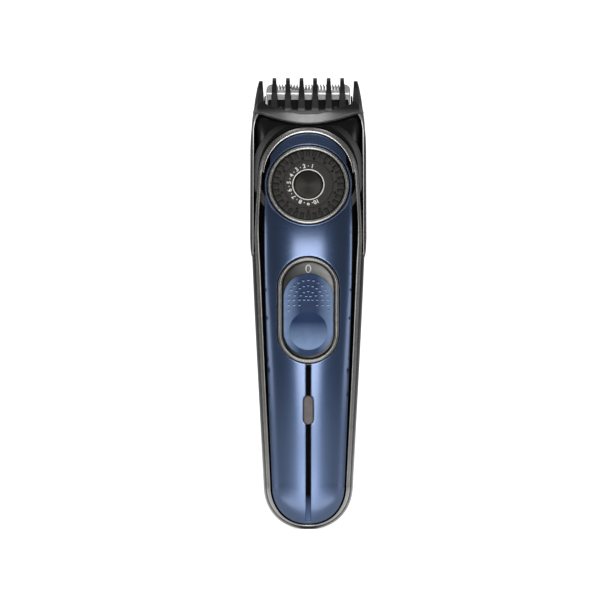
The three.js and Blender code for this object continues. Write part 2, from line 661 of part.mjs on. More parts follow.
// Block with a cross slot for the eccentric's pin, and a neck that carries the moving blade.
function cutterDriver() {
  const slot = DRIVE.pin + DRIVE.orbit + STROKE + GAP;
  const block = box(-4.4, 4.4, DRIVE.y - 3.2, DRIVE.y + 3.2, 35.2, 39.4);
  const room = box(-slot, slot, DRIVE.y - 1.9, DRIVE.y + 1.9, 34, 38.6);
  return block.subtract(room).add(box(-3.6, 3.6, -0.9, 1.2, 39, 49.5));
}

// Spring strip behind the driver's neck that presses the moving blade against the fixed one.
function cutterSpring() {
  return box(-5.8, 5.8, 1.6, 2, 42.8, 48.2);
}

// Rounded block of one superellipse per station [s, half width, front depth, back depth], in the head's frame.
function headBlock(rows, power) {
  const steps = 36;
  return loft(rows.map(([s, width, front, back]) => {
    const ring = [];
    for (let i = 0; i < steps; i++) {
      const angle = (i / steps) * 2 * Math.PI;
      const [c, n] = [Math.cos(angle), Math.sin(angle)];
      const x = width * Math.sign(c) * Math.abs(c) ** (2 / power);
      const y = (n < 0 ? front : back) * Math.sign(n) * Math.abs(n) ** (2 / power);
      ring.push(new THREE.Vector3(x, y, s));
    }
    return ring;
  }));
}

// Black shoulders outside the collar's arc, and the block over them that the blades stand on.
function neckFrame() {
  const toHead = HEAD.clone().invert();
  const collar = upright(prism(collarOutline(-GAP), -FAR, FAR), toHead);
  let neck = headBlock(NECK_ROWS, SECTION_POWER);
  neck = neck.subtract(box(-30, 30, -GAP - 0.15, 30, 0, NECK.rearTop));
  neck = neck.subtract(collar.intersect(box(-40, 40, -40, 40, -40, NECK.collarTop)));
  neck = neck.subtract(box(-NECK.seatHalfWidth, NECK.seatHalfWidth, -30, 5.5, NECK.seatBottom, 60));
  return neck.subtract(box(-14, 14, -5, 5.9, 0, 60));
}

// ---------------------------------------------------------------- comb guard, in the head's frame
function combTooth(x, drop) {
  const outline = TOOTH.map(([y, s]) => [y, s - drop * THREE.MathUtils.clamp((s - 48) / 8, 0, 1)]);
  return sidePrism(outline, x - COMB.toothWidth / 2, x + COMB.toothWidth / 2);
}

// Side arm from the carriage's tab up to the outermost tooth.
function combArm(side) {
  const { inner, armBottom } = COMB;
  const outline = [[inner, armBottom], [inner + 0.3, armBottom - 0.3], ...ARM_EDGE];
  return prism(outline.map(([x, z]) => [side * x, z]), -6, 3.5);
}

function combGuard() {
  const outer = headBlock([[34, 22, 11.4, 10], [41, 22, 11.2, 10], [49, 19.5, 8.4, 10]], SECTION_POWER);
  const inner = headBlock([[33, 20.9, 9.7, 11], [41, 20.7, 9.5, 11], [50, 18, 6.6, 11]], SECTION_POWER);
  const steps = 16;
  const edge = (low, rise, reach) => {
    const points = [];
    for (let i = 0; i <= steps; i++) {
      const x = -22 + (44 * i) / steps;
      points.push([x, low + rise * (x / reach) ** 2]);
    }
    return points;
  };
  const crescent = edge(37, 6.5, 19.8).concat(edge(43.4, 3.2, 19).reverse());
  const wall = outer.subtract(inner).intersect(prism(crescent, -30, -1.5));
  const teeth = [];
  for (let i = 0; i < COMB.teeth; i++) {
    const x = (i - (COMB.teeth - 1) / 2) * COMB.pitch;
    const last = i === 0 || i === COMB.teeth - 1;
    teeth.push(combTooth(x, last ? COMB.outerDrop : 0));
  }
  return union([wall, combArm(-1), combArm(1), ...teeth]);
}

// ---------------------------------------------------------------- the object
const COLOURS = {
  blue: { color: '#4a6290', roughness: 0.3, metalness: 0.7 },
  gloss: { color: '#060606', roughness: 0.15, metalness: 0 },
  satin: { color: '#3a3a3a', roughness: 0.5, metalness: 0 },
  chrome: { color: '#c9c8c6', roughness: 0.15, metalness: 1 },
  steel: { color: '#b9babb', roughness: 0.3, metalness: 1 },
  dial: { color: '#4e4b44', roughness: 0.45, metalness: 0.2 },
  lens: { color: '#68615f', roughness: 0.3, metalness: 0 },
  board: { color: '#1f5a36', roughness: 0.6, metalness: 0 },
  cell: { color: '#8894a0', roughness: 0.4, metalness: 0.3 },
  white: { color: '#d8d6cf', roughness: 0.5, metalness: 0 },
};

function addMesh(group, name, part, colour) {
  const { vertProperties, triVerts } = part.getMesh();
  const geometry = new THREE.BufferGeometry();
  geometry.setAttribute('position', new THREE.BufferAttribute(new Float32Array(vertProperties), 3));
  geometry.setIndex(Array.from(triVerts));
  const mesh = new THREE.Mesh(geometry, new THREE.MeshStandardMaterial(COLOURS[colour]));
  mesh.name = name;
  group.add(mesh);
}

const trimmer = new THREE.Group();
trimmer.position.y = DEPTH_SHIFT;
const head = new THREE.Group();
head.rotation.x = -LEAN;
head.position.set(0, HEAD_Y, HEAD_Z);
const switchGroup = new THREE.Group();
switchGroup.rotation.x = -SWITCH.lean;
switchGroup.position.set(0, SWITCH.y, SWITCH.z);
trimmer.add(head, switchGroup);

addMesh(trimmer, 'rear_housing', rearHousing(), 'gloss');
addMesh(trimmer, 'front_housing', frontHousing(), 'gloss');
addMesh(trimmer, 'trim_ring', trimRing(), 'chrome');
addMesh(trimmer, 'front_plate', frontPlate(), 'blue');
addMesh(trimmer, 'centre_strip_lower', centreStrip(STRIP.bottom, LENS.z - LENS.halfHeight - GAP), 'gloss');
addMesh(trimmer, 'centre_strip_upper', centreStrip(LENS.z + LENS.halfHeight + GAP, STRIP.top), 'gloss');
addMesh(trimmer, 'indicator_lens', indicatorLens(), 'lens');
addMesh(trimmer, 'status_light', statusLight(), 'white');
addMesh(trimmer, 'charging_socket', chargingSocket(), 'satin');
addMesh(trimmer, 'battery', battery(), 'cell');
addMesh(trimmer, 'circuit_board', circuitBoard(), 'board');
screwPlaces().forEach(([x, z], i) => {
  const { head: radius, shank, headFront, headBack, tip } = SCREW;
  const screw = rodY(radius, headFront, headBack, x, z, 16).add(rodY(shank, tip, headFront + 0.1, x, z, 12));
  addMesh(trimmer, `housing_screw_${i + 1}`, screw, 'steel');
});

addMesh(switchGroup, 'switch_bezel', switchBezel(), 'chrome');
addMesh(switchGroup, 'switch_well', switchWell(), 'satin');
addMesh(switchGroup, 'switch_button', switchButton(), 'blue');
addMesh(switchGroup, 'switch_slider', switchSlider(), 'white');
addMesh(switchGroup, 'slide_switch', slideSwitch(), 'satin');

addMesh(head, 'dial_bezel', dialBezel(), 'chrome');
addMesh(head, 'length_dial', lengthDial(), 'dial');
addMesh(head, 'dial_cap', rodY(DIAL_CAP.radius, DIAL_CAP.front, DIAL_CAP.back, 0, DIAL.s, 40), 'steel');
addMesh(head, 'dial_pinion', dialPinion(), 'white');
addMesh(head, 'detent_spring', detentSpring(), 'steel');
addMesh(head, 'comb_carriage', combCarriage(), 'white');
addMesh(head, 'comb_guard', combGuard(), 'satin');
addMesh(head, 'motor', motorCan(), 'steel');
addMesh(head, 'motor_cradle', motorCradle(), 'white');
addMesh(head, 'motor_shaft', motorShaft(), 'steel');
addMesh(head, 'eccentric', eccentric(), 'white');
addMesh(head, 'cutter_driver', cutterDriver(), 'white');
addMesh(head, 'cutter_spring', cutterSpring(), 'steel');
addMesh(head, 'moving_blade', movingBlade(), 'steel');
addMesh(head, 'fixed_blade', fixedBlade(), 'steel');
addMesh(head, 'blade_holder', bladeHolder(), 'gloss');
addMesh(head, 'blade_cover', bladeCover(), 'gloss');
addMesh(head, 'blade_screw_left', bladeScrew(-1), 'steel');
addMesh(head, 'blade_screw_right', bladeScrew(1), 'steel');
addMesh(head, 'neck_frame', neckFrame(), 'gloss');

export default trimmer;
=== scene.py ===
"""Looks of the beard trimmer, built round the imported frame.

Shapes are worked out in millimetres, in the frame's axes, and turned into metres when a mesh is made.
The body's surface follows the same formulas as the solids: superellipse sections along a bent centreline.
"""

import json
import math

import bmesh
import bpy
import numpy as np
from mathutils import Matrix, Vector
from mathutils.geometry import delaunay_2d_cdt


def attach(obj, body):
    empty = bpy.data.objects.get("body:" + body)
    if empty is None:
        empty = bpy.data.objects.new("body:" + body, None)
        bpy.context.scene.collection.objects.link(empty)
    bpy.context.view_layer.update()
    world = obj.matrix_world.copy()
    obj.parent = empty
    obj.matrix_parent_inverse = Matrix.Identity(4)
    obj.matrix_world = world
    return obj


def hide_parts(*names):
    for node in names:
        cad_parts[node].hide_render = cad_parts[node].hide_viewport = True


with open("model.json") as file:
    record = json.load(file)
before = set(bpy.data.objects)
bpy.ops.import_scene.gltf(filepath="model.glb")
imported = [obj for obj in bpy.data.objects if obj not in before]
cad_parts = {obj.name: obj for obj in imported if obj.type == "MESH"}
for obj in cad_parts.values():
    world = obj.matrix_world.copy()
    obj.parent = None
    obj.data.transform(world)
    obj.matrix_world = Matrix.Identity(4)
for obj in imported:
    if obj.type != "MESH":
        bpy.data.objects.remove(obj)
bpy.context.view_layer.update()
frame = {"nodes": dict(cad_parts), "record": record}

# ---------------------------------------------------------------- driving dimensions, millimetres
# Z is a height, S a height in the head's frame, T a distance along the centreline, R a radius. W and H are
# half a width and half a height. Lists of pairs are stations [height, value].
MM = 0.001
GAP = 0.3
FINE_GAP = 0.08  # between pieces that look flush
DEPTH_SHIFT = -3.186  # puts the whole box's centre at y = 0

LEAN = math.radians(16)  # of the head, backwards
BEND_START = 92
BEND_RADIUS = 86
HEAD_Y = BEND_RADIUS * (1 - math.cos(LEAN)) + DEPTH_SHIFT
HEAD_Z = BEND_START + BEND_RADIUS * math.sin(LEAN)
HEAD_T = BEND_START + BEND_RADIUS * LEAN

# the body's sections
HALF_WIDTH = [(17, 17.1), (106, 21.5), (124, 21.2), (160, 20.8)]
FRONT_DEPTH = [(17, 14.8), (60, 15), (116, 12), (152, 8.9), (160, 8.4)]
BACK_DEPTH = [(17, 13), (60, 15), (116, 11), (154, 8.4), (160, 8)]
SECTION_POWER = 2.7  # exponent of the superellipses
BASE_HEIGHT = 17  # up to which the foot is rounded
BASE_POWER = 2.2
BASE_FLAT = 0.98
FOOT_DEPTH = 0.9  # share of the depth that is left at the very bottom
HEAD_TOP = 154
SIDE_LIMIT = 4.2  # points of the front surface stay this far in front of the centreline
BEYOND = 172  # a distance along the centreline past the head's top
FAR = 200  # half the length of a tool that cuts right through

# collar, trim ring, metallic plate and walls
COLLAR_Z, COLLAR_R, COLLAR_TOP, COLLAR_WALL = 135.9, 21.2, 153.8, 2
RING_BOTTOM, RING_INNER_BOTTOM, RING_WIDTH = 1.0, 1.6, 1.4
RING_ARC_Z, RING_ARC_R, RING_ARC_INNER = 133.9, 19.06, 16.9
RING_EDGE = [(17, 15.8), (60, 17.9), (98, 19.5), (115, 20.2), (136, 18.95)]
PLATE_BOTTOM, PLATE_ARC_R, PLATE_SHOULDER = 1.95, 16.6, 14.5
PLATE_EDGE = [(17, 13.9), (49, 15.2), (87, 16.4), (113, 16.8), (131, 16.4)]
DIAL_WORLD_Z, DIAL_WORLD_R = 130.4, 16.4
SKIN, RECESS = 1.4, 1.7  # thickness of the plate and the ring, and depth of their pocket
SHELL, REAR_SHELL = 2.9, 2.0

# dial, switch, lens, inlay, screws and socket
DIAL_S, DIAL_FRONT, DIAL_R, DIAL_BORE = 12.15, -12.4, 13.7, 5.75
NOTCHES, NOTCH_DEPTH = 32, 0.9
SETTINGS, SCALE_R, SCALE_START, SCALE_STEP = 10, 7.35, 78, 24  # the last two in degrees
SWITCH_Z, SWITCH_Y, SWITCH_LEAN = 83.15, -13.95 + DEPTH_SHIFT, math.radians(3.5)
SWITCH_W, SWITCH_H = 11.65, 20.25
BUTTON_W, BUTTON_H, BUTTON_Z = 9.4, 15.6, -1.7
BUTTON_TOP, BUTTON_CROWN = -0.9, 0.5
DISH_R, DISH_DEPTH, DENT_R, DENT_DEPTH = 7.4, 1.2, 0.5, 0.42
BEZEL_WALL, WELL_DEPTH, ZERO_Z = 1.75, 1.6, 15.75
LENS_W, LENS_H, LENS_Z, LENS_PROUD = 1.85, 5.4, 45.2, 0.3
STRIP_W, STRIP_BOTTOM, STRIP_TOP, STRIP_PROUD = 0.9, 3.2, 62.3, 0.15
SCREW_X, SCREW_LOW, SCREW_HIGH = 11, 24, 106.4
BLADE_SCREW_X, BLADE_SCREW_S, BLADE_SCREW_HOLE = 10.5, 44.2, 0.9
SOCKET_Y, SOCKET_R = 3.8, 2.9

# comb and neck, in the head's frame. Each row is a superellipse: height, half width, front and back depth.
COMB_PITCH, COMB_TEETH, COMB_BACK, COMB_VOXEL = 5.18, 8, -1.5, 0.2
COMB_REACH, COMB_EDGE = 19.8, 22.4  # where the comb's curves have their outer heights, and past its side
NECK_ROWS = [
    [8, 20.3, 9, 8], [32, 20.6, 8.6, 7.7], [38, 20.85, 8.6, 7.6], [41, 20.35, 8.2, 7.3], [43, 19.4, 7, 7],
    [45, 18.1, 6.2, 6.6], [47, 16.95, 5.5, 5.7], [50.6, 16.85, 5.2, 4.8], [50.8, 16.7, 5, 4.7],
]
TOOTH_SIDE = [  # (depth, height)
    (-9.6, 39.5), (-10.3, 41.5), (-10.5, 43.5), (-9.8, 47), (-8.6, 50), (-7.0, 53), (-4.9, 55.8), (-2, 57.8),
    (0.3, 58.5), (1.4, 57.9), (0.9, 57.1), (-2.4, 56.4), (-5.2, 54.4), (-6.1, 50), (-7.2, 45), (-8.6, 42),
]
ARM_OUTLINE = [  # (x, height)
    (21.12, -12), (21.5, -12.25), (22.0, -10), (22.2, -5), (22.2, 28), (21.95, 34), (21.4, 41), (20.8, 45),
    (20.3, 49), (19.6, 53), (18.95, 55.6), (17.5, 55.6), (17.4, 48), (18.6, 45.5), (20.6, 42), (21.1, 38.6),
    (21.12, 20),
]
ARM_ROWS = [[-14, 22.2, 11.4, 10], [34, 22.15, 11.4, 10], [41, 21.9, 11, 10], [58, 19.6, 8, 10]]
DECK_ROWS = [[34, 21.7, 10.95, 10], [41, 21.5, 10.6, 10], [49, 19.3, 8.6, 10]]
DECK_HOLLOW = [[33, 20.9, 9.5, 11], [41, 20.5, 8.9, 11], [50, 18.3, 6.4, 11]]
BAND_ROWS = [[34, 22.15, 10.8, 10], [41, 22.05, 12.5, 10], [49, 19.9, 11.5, 10]]
BAND_HOLLOW = [[33, 20.9, 9.7, 11], [41, 20.7, 9.5, 11], [50, 18.5, 7, 11]]

# looks, with linear colours
GLOSS_DARK, GLOSS_LIGHT = (0.0015, 0.0015, 0.0016), (0.003, 0.003, 0.0032)
BLUE_DARK, BLUE_LIGHT, BLUE_FLAKE = (0.008, 0.031, 0.09), (0.011, 0.037, 0.1), (0.03, 0.06, 0.14)
SPUN_DARK, SPUN_LIGHT = (0.014, 0.0135, 0.012), (0.04, 0.039, 0.036)
PAPER_GLOW = 0.85
FADE = (3, 13)  # heights between which the inlay turns from blue to black
FADE_BLUE, FADE_BLUE_LIGHT = (0.06, 0.1, 0.2), (0.08, 0.125, 0.23)
CAMERA = (-0.00316, -3.81, 0.0869)  # metres


# ---------------------------------------------------------------- body surface
def stacked(x, y, z):
    """Points from their coordinates, which may be arrays or numbers that hold for all of them."""
    return np.stack(np.broadcast_arrays(x, y, z), -1)


def smooth(stations, t):
    """Cubic Hermite curve through [t, value] stations, with slopes from the neighbouring stations."""
    ts, vs = np.array(stations, float).T
    t = np.clip(t, ts[0], ts[-1])
    i = np.clip(np.searchsorted(ts, t, side="right") - 1, 0, len(ts) - 2)
    before = np.maximum(np.arange(len(ts)) - 1, 0)
    after = np.minimum(np.arange(len(ts)) + 1, len(ts) - 1)
    slope = (vs[after] - vs[before]) / (ts[after] - ts[before])
    span = ts[i + 1] - ts[i]
    u = (t - ts[i]) / span
    rise = u * u * (3 - 2 * u)
    lean = span * u * (1 - u) * ((1 - u) * slope[i] - u * slope[i + 1])
    return vs[i] * (1 - rise) + vs[i + 1] * rise + lean


def bend(x, y, t):
    """Where points of the body's own coordinates lie: x, depth y and distance t along the centreline."""
    x, y, t = np.broadcast_arrays(np.asarray(x, float), y, t)
    angle = np.clip((t - BEND_START) / BEND_RADIUS, 0, LEAN)
    straight = t - BEND_START - angle * BEND_RADIUS
    centre_y = BEND_RADIUS * (1 - np.cos(angle)) + straight * np.sin(angle) + DEPTH_SHIFT
    centre_z = BEND_START + BEND_RADIUS * np.sin(angle) + straight * np.cos(angle)
    return np.stack([x, centre_y + y * np.cos(angle), centre_z - y * np.sin(angle)], -1)


def section(t, inset):
    """Half width, front depth and back depth of the body at t, with its surface set in by inset."""
    t = np.asarray(t, float)
    u = np.clip((t - inset) / (BASE_HEIGHT - inset), 0, 1)
    rounded = (1 - (BASE_FLAT * (1 - u)) ** BASE_POWER) ** (1 / BASE_POWER)
    deep = FOOT_DEPTH + (1 - FOOT_DEPTH) * rounded
    width = (smooth(HALF_WIDTH, t) - inset) * rounded
    return width, (smooth(FRONT_DEPTH, t) - inset) * deep, (smooth(BACK_DEPTH, t) - inset) * deep


def depth_at(x, t, inset, side):
    """Distance of the surface from the centreline at x and t, in front (side -1) or behind (side 1)."""
    width, front, back = section(t, inset)
    share = np.clip(np.abs(x) / np.maximum(width, 1e-6), 0, 1)
    return (front if side < 0 else back) * (1 - share**SECTION_POWER) ** (1 / SECTION_POWER)


def on_front(x, z, inset=0.0):
    """Points of the front surface, set in by inset, at x and z. They stay in front of the side limit."""
    x, z, inset = np.broadcast_arrays(np.asarray(x, float), z, inset)
    t = z.copy()
    for _ in range(14):
        y = -np.maximum(depth_at(x, t, inset, -1), SIDE_LIMIT)
        t = t + z - bend(x, y, t)[..., 2]
    return bend(x, y, t)


def in_head(x, y, s):
    """Points of the head's own frame: y is depth, s is height along the leaning centreline."""
    x, y, s = np.broadcast_arrays(np.asarray(x, float), y, s)
    c, n = math.cos(LEAN), math.sin(LEAN)
    return np.stack([x, HEAD_Y + y * c + s * n, HEAD_Z - y * n + s * c], -1)


def in_switch(x, y, z):
    """Points of the switch's own frame, which leans with the front surface."""
    x, y, z = np.broadcast_arrays(np.asarray(x, float), y, z)
    c, n = math.cos(SWITCH_LEAN), math.sin(SWITCH_LEAN)
    return np.stack([x, SWITCH_Y + y * c + z * n, SWITCH_Z - y * n + z * c], -1)


# ---------------------------------------------------------------- outlines, as loops of (x, z)
def mirrored(half):
    """The right-hand half of an outline, from bottom to top, with its mirror image."""
    half = np.array(half, float)
    left = half[half[:, 0] > 0.01][::-1] * (-1, 1)
    return np.vstack([half, left])


def resampled(loop, spacing):
    """The same closed loop with points about spacing apart."""
    closed = np.vstack([loop, loop[:1]])
    run = np.concatenate([[0], np.cumsum(np.linalg.norm(np.diff(closed, axis=0), axis=1))])
    count = max(12, int(round(run[-1] / spacing)))
    at = np.linspace(0, run[-1], count, endpoint=False)
    return np.stack([np.interp(at, run, closed[:, 0]), np.interp(at, run, closed[:, 1])], 1)


def lower_outline(foot, edge, inset, steps=40, parts=60):
    """Right-hand half of an outline with a rounded bottom, up to the last station of its edge."""
    u = 1 - np.cos(np.arange(steps) / steps * math.pi / 2)
    rounded = (1 - (1 - u) ** BASE_POWER) ** (1 / BASE_POWER)
    low = np.stack([(edge[0][1] - inset) * rounded, foot + (BASE_HEIGHT - foot) * u], 1)
    z = np.linspace(BASE_HEIGHT, edge[-1][0], parts)
    return np.vstack([low, np.stack([smooth(edge, z) - inset, z], 1)])


def arc(radius, z, start, end, steps=40):
    """Points on a circle round (0, z), between two angles in radians."""
    angle = np.linspace(start, end, steps)
    return np.stack([radius * np.cos(angle), z + radius * np.sin(angle)], 1)


def ring_outline(foot, inset, radius):
    """Outline of the trim ring's kind: rounded foot, curved flanks and an arc round the head."""
    half = lower_outline(foot, RING_EDGE, inset)
    start = math.acos(min(half[-1, 0] - 0.1, radius - 0.05) / radius)
    return mirrored(np.vstack([half, arc(radius, RING_ARC_Z, start, math.pi / 2)]))


def plate_outline():
    """Outline of the metallic plate, which follows the dial's rim between its flanks and its top."""
    half = lower_outline(PLATE_BOTTOM, PLATE_EDGE, 0)
    shoulder = math.acos(PLATE_SHOULDER / DIAL_WORLD_R)
    beside = arc(DIAL_WORLD_R, DIAL_WORLD_Z, 0.06, shoulder, 10)
    top = arc(PLATE_ARC_R, RING_ARC_Z, math.acos(PLATE_SHOULDER / PLATE_ARC_R), math.pi / 2)
    return mirrored(np.vstack([half, beside, top]))


def stadium(half_width, half_height, z=0.0, steps=24):
    """Upright slot with round ends, centred at height z."""
    straight = half_height - half_width
    upper = arc(half_width, z + straight, 0, math.pi, steps)
    lower = arc(half_width, z - straight, math.pi, 2 * math.pi, steps)
    return np.vstack([upper, lower])


def circle(radius, z=0.0, steps=96):
    """Closed circle round (0, z), without a doubled point."""
    return arc(radius, z, 0, 2 * math.pi, steps + 1)[:-1]


def offset(loop, distance):
    """The loop moved to its left by distance, which is inwards for an anticlockwise loop."""
    along = np.roll(loop, -1, 0) - np.roll(loop, 1, 0)
    along /= np.linalg.norm(along, axis=1)[:, None]
    return loop + distance * np.stack([-along[:, 1], along[:, 0]], 1)


def inside(points, loop):
    """Which points lie inside the loop."""
    x, z = points[:, 0][:, None], points[:, 1][:, None]
    x0, z0 = loop.T
    x1, z1 = np.roll(loop, -1, 0).T
    rise = np.where(z1 == z0, 1e-12, z1 - z0)
    crosses = ((z0 > z) != (z1 > z)) & (x < x0 + (z - z0) / rise * (x1 - x0))
    return crosses.sum(1) % 2 == 1


def between(points, outer, holes):
    """Which points lie inside the outer loop and outside every hole."""
    keep = inside(points, outer)
    for hole in holes:
        keep &= ~inside(points, hole)
    return keep


# ---------------------------------------------------------------- meshes
def make(name, points, faces, angle=40):
    """A mesh object from points in millimetres, welded, with faces outwards and sharp edges marked."""
    mesh = bpy.data.meshes.new(name)
    mesh.from_pydata((np.asarray(points) * MM).tolist(), [], [list(map(int, f)) for f in faces])
    piece = bpy.data.objects.new(name, mesh)
    bpy.context.scene.collection.objects.link(piece)
    tidy(piece, angle)
    return piece


def tidy(piece, angle=40, weld=2e-6):
    """Welds the piece, turns its faces outwards and marks its edges sharper than angle. weld is in metres."""
    bm = bmesh.new()
    bm.from_mesh(piece.data)
    bmesh.ops.remove_doubles(bm, verts=bm.verts, dist=weld)
    bmesh.ops.dissolve_degenerate(bm, edges=bm.edges, dist=weld / 2)
    loose = [v for v in bm.verts if not v.link_faces]
    bmesh.ops.delete(bm, geom=loose, context="VERTS")
    bmesh.ops.recalc_face_normals(bm, faces=bm.faces)
    bm.to_mesh(piece.data)
    bm.free()
    piece.data.polygons.foreach_set("use_smooth", [True] * len(piece.data.polygons))
    piece.data.set_sharp_from_angle(angle=math.radians(angle))


def grid_faces(rows, columns, close_rows=False, close_columns=False, start=0):
    """Quads between neighbouring points of a grid stored row by row."""
    faces = []
    for r in range(rows if close_rows else rows - 1):
        for c in range(columns if close_columns else columns - 1):
            a, b = r * columns, ((r + 1) % rows) * columns
            d = (c + 1) % columns
            faces.append((start + a + c, start + a + d, start + b + d, start + b + c))
    return faces


def loft(name, rings, angle=40, caps=True, closed=False):
    """A piece through rings of points, all with the same count."""
    rings = np.asarray(rings)
    rows, columns = rings.shape[:2]
    faces = grid_faces(rows, columns, close_rows=closed, close_columns=True)
    if caps and not closed:
        faces += [tuple(range(columns)), tuple(range((rows - 1) * columns, rows * columns))]
    return make(name, rings.reshape(-1, 3), faces, angle)


def filled(outer, holes, spacing):
    """Points and triangles that fill the outer loop outside the holes, with a grid of points inside."""
    loops = [outer, *holes]
    low, high = outer.min(0), outer.max(0)
    across = np.arange(math.floor(low[0] / spacing), math.ceil(high[0] / spacing) + 1) * spacing
    up = np.arange(low[1], high[1], spacing)
    grid = np.stack(np.meshgrid(across, up), -1).reshape(-1, 2)
    grid = grid[between(grid, outer, holes)]
    border = np.vstack(loops)
    near = np.full(len(grid), np.inf)
    for part in np.array_split(border, max(1, len(border) // 64)):
        near = np.minimum(near, np.linalg.norm(grid[:, None] - part[None], axis=2).min(1))
    grid = grid[near > 0.55 * spacing]
    points, edges = [], []
    for loop in loops:
        first = len(points)
        points += loop.tolist()
        edges += [(first + i, first + (i + 1) % len(loop)) for i in range(len(loop))]
    points += grid.tolist()
    found, _, faces, *_ = delaunay_2d_cdt([Vector(p) for p in points], edges, [], 0, 1e-6)
    found = np.array([tuple(p) for p in found])
    faces = np.array(faces)
    return found, faces[between(found[faces].mean(1), outer, holes)]


def rounded_edge(radius, depth, steps=5):
    """Edge profile as (distance inwards, depth below the top): a wall up from depth, then a quarter round."""
    angle = np.linspace(0, math.pi / 2, steps)
    curve = np.stack([radius * (1 - np.cos(angle)), radius * (1 - np.sin(angle))], 1)
    return np.vstack([[(0, depth)], curve])


def level(place, start):
    """A plate's lift: flat, from the depth start in the frame that place gives."""
    return lambda x, z, depth: place(x, start + depth, z)


def proud(rise):
    """A plate's lift: along the body's front surface, and rise in front of it."""
    return lambda x, z, depth: on_front(x, z, depth - rise)


def plate(name, outer, holes, lift, profile, spacing=0.9, angle=40, hole_profile=None):
    """A plate with rounded edges: lift(x, z, depth) places its points, profile shapes its outer edge.

    outer runs anticlockwise. Holes are anticlockwise loops too, and hole_profile, as long as profile,
    shapes their edges.
    """
    points, faces, tops = [], [], []
    hole_profile = profile if hole_profile is None else hole_profile
    for loop, way, edge in [(outer, 1, profile), *((hole, -1, hole_profile) for hole in holes)]:
        first = len(points)
        rows = [offset(loop, way * d) for d, _ in edge]
        for row, (_, depth) in zip(rows, edge):
            points += lift(row[:, 0], row[:, 1], depth).tolist()
        faces += grid_faces(len(rows), len(loop), close_columns=True, start=first)
        tops.append(rows[-1])
    fills = [(tops, profile[-1][1], spacing), ([outer, *holes], profile[0][1], 2.5 * spacing)]
    for loops, depth, step in fills:
        flat, triangles = filled(loops[0], loops[1:], step)
        first = len(points)
        points += lift(flat[:, 0], flat[:, 1], depth).tolist()
        faces += [tuple(first + i for i in face) for face in triangles]
    return make(name, points, faces, angle)


def lathe(name, profile, centre, place, steps=128, angle=40):
    """A closed profile of (radius, depth), turned about the line through (x, z) along place's depth."""
    turn = np.linspace(0, 2 * math.pi, steps, endpoint=False)
    radius, depth = np.array(profile, float).T
    x = radius[None] * np.cos(turn)[:, None]
    z = radius[None] * np.sin(turn)[:, None]
    rings = place(centre[0] + x, depth[None] + 0 * x, centre[1] + z)
    faces = grid_faces(steps, len(profile), close_rows=True, close_columns=True)
    return make(name, rings.reshape(-1, 3), faces, angle)


def baked(piece):
    """Makes the piece's modifiers part of its mesh."""
    depsgraph = bpy.context.evaluated_depsgraph_get()
    mesh = bpy.data.meshes.new_from_object(piece.evaluated_get(depsgraph))
    piece.modifiers.clear()
    piece.data = mesh
    return piece


def cut(piece, *tools, operation="DIFFERENCE"):
    """Cuts the piece with other meshes, which are used up."""
    for tool in tools:
        modifier = piece.modifiers.new("cut", "BOOLEAN")
        modifier.operation = operation
        modifier.solver = "MANIFOLD"
        modifier.object = tool
        baked(piece)
        bpy.data.objects.remove(tool)
    return piece


def common(piece, tool):
    """Keeps what the piece and the other mesh have in common."""
    return cut(piece, tool, operation="INTERSECT")


def joined(name, pieces):
    """One object from several that share a material."""
    target = pieces[0]
    bm = bmesh.new()
    for piece in pieces:
        bm.from_mesh(piece.data)
    bm.to_mesh(target.data)
    bm.free()
    for piece in pieces[1:]:
        bpy.data.objects.remove(piece)
    target.name = name
    return target


# ---------------------------------------------------------------- body halves
def body_stations(end, inset, coarse):
    """Distances along the centreline where the body gets a section, close together round its foot."""
    turn = np.linspace(0, math.pi / 2, 22 // coarse, endpoint=False)
    base = inset + (BASE_HEIGHT - inset) * (1 - np.cos(turn))
    straight = np.arange(BASE_HEIGHT, BEND_START, 3 * coarse)
    bent = np.arange(BEND_START, end, 1.6 * coarse)
    return np.concatenate([base, straight, bent[bent < end - 0.3], [end]])


def half_body(name, side, inset, start, end, soft=0.0, coarse=1):
    """Front (side -1) or rear (side 1) half of the body, with its surface set in by inset.

    It begins at distance start from the centreline, where its edge is rounded by soft.
    """
    angle = np.linspace(0, math.pi, 96 // coarse + 1)[1:-1]
    cosine = np.sign(np.cos(angle)) * np.abs(np.cos(angle)) ** (2 / SECTION_POWER)
    sine = np.sin(angle) ** (2 / SECTION_POWER)
    turn = np.linspace(0, math.pi / 2, 5)
    rings = []
    for t in body_stations(end, inset, coarse):
        width, front, back = section(t, inset)
        depth = front if side < 0 else back
        floor = max(start, 0)
        edge = width * (1 - min((floor + soft) / depth, 1) ** SECTION_POWER) ** (1 / SECTION_POWER)
        if soft:
            x = np.concatenate([edge - soft + soft * np.sin(turn), width * cosine])
            y = np.concatenate([floor + soft - soft * np.cos(turn), np.maximum(depth * sine, floor + soft)])
            x = np.concatenate([x, -(edge - soft + soft * np.sin(turn[::-1]))])
            y = np.concatenate([y, floor + soft - soft * np.cos(turn[::-1])])
        else:
            x = np.concatenate([[width], width * cosine, [-width, -width, width]])
            y = np.concatenate([[floor], np.maximum(depth * sine, floor), [floor, start, start]])
        rings.append(bend(x, side * y, t))
    return loft(name, rings, 30)


def prism(name, loop, y0, y1, place=stacked):
    """A block with an outline in x and z, from y0 to y1, in the frame that place gives."""
    return loft(name, [place(loop[:, 0], y, loop[:, 1]) for y in (y0, y1)])


def block(name, low, high, place):
    """A box between two corners (x, y, z)."""
    x, y, z = zip(low, high)
    loop = np.array([(x[0], z[0]), (x[1], z[0]), (x[1], z[1]), (x[0], z[1])], float)
    return prism(name, loop, y[0], y[1], place)


def rod(name, radius, y0, y1, x, z, place=stacked, steps=64):
    """A round bar along y."""
    return prism(name, circle(radius, 0, steps) + (x, z), y0, y1, place)


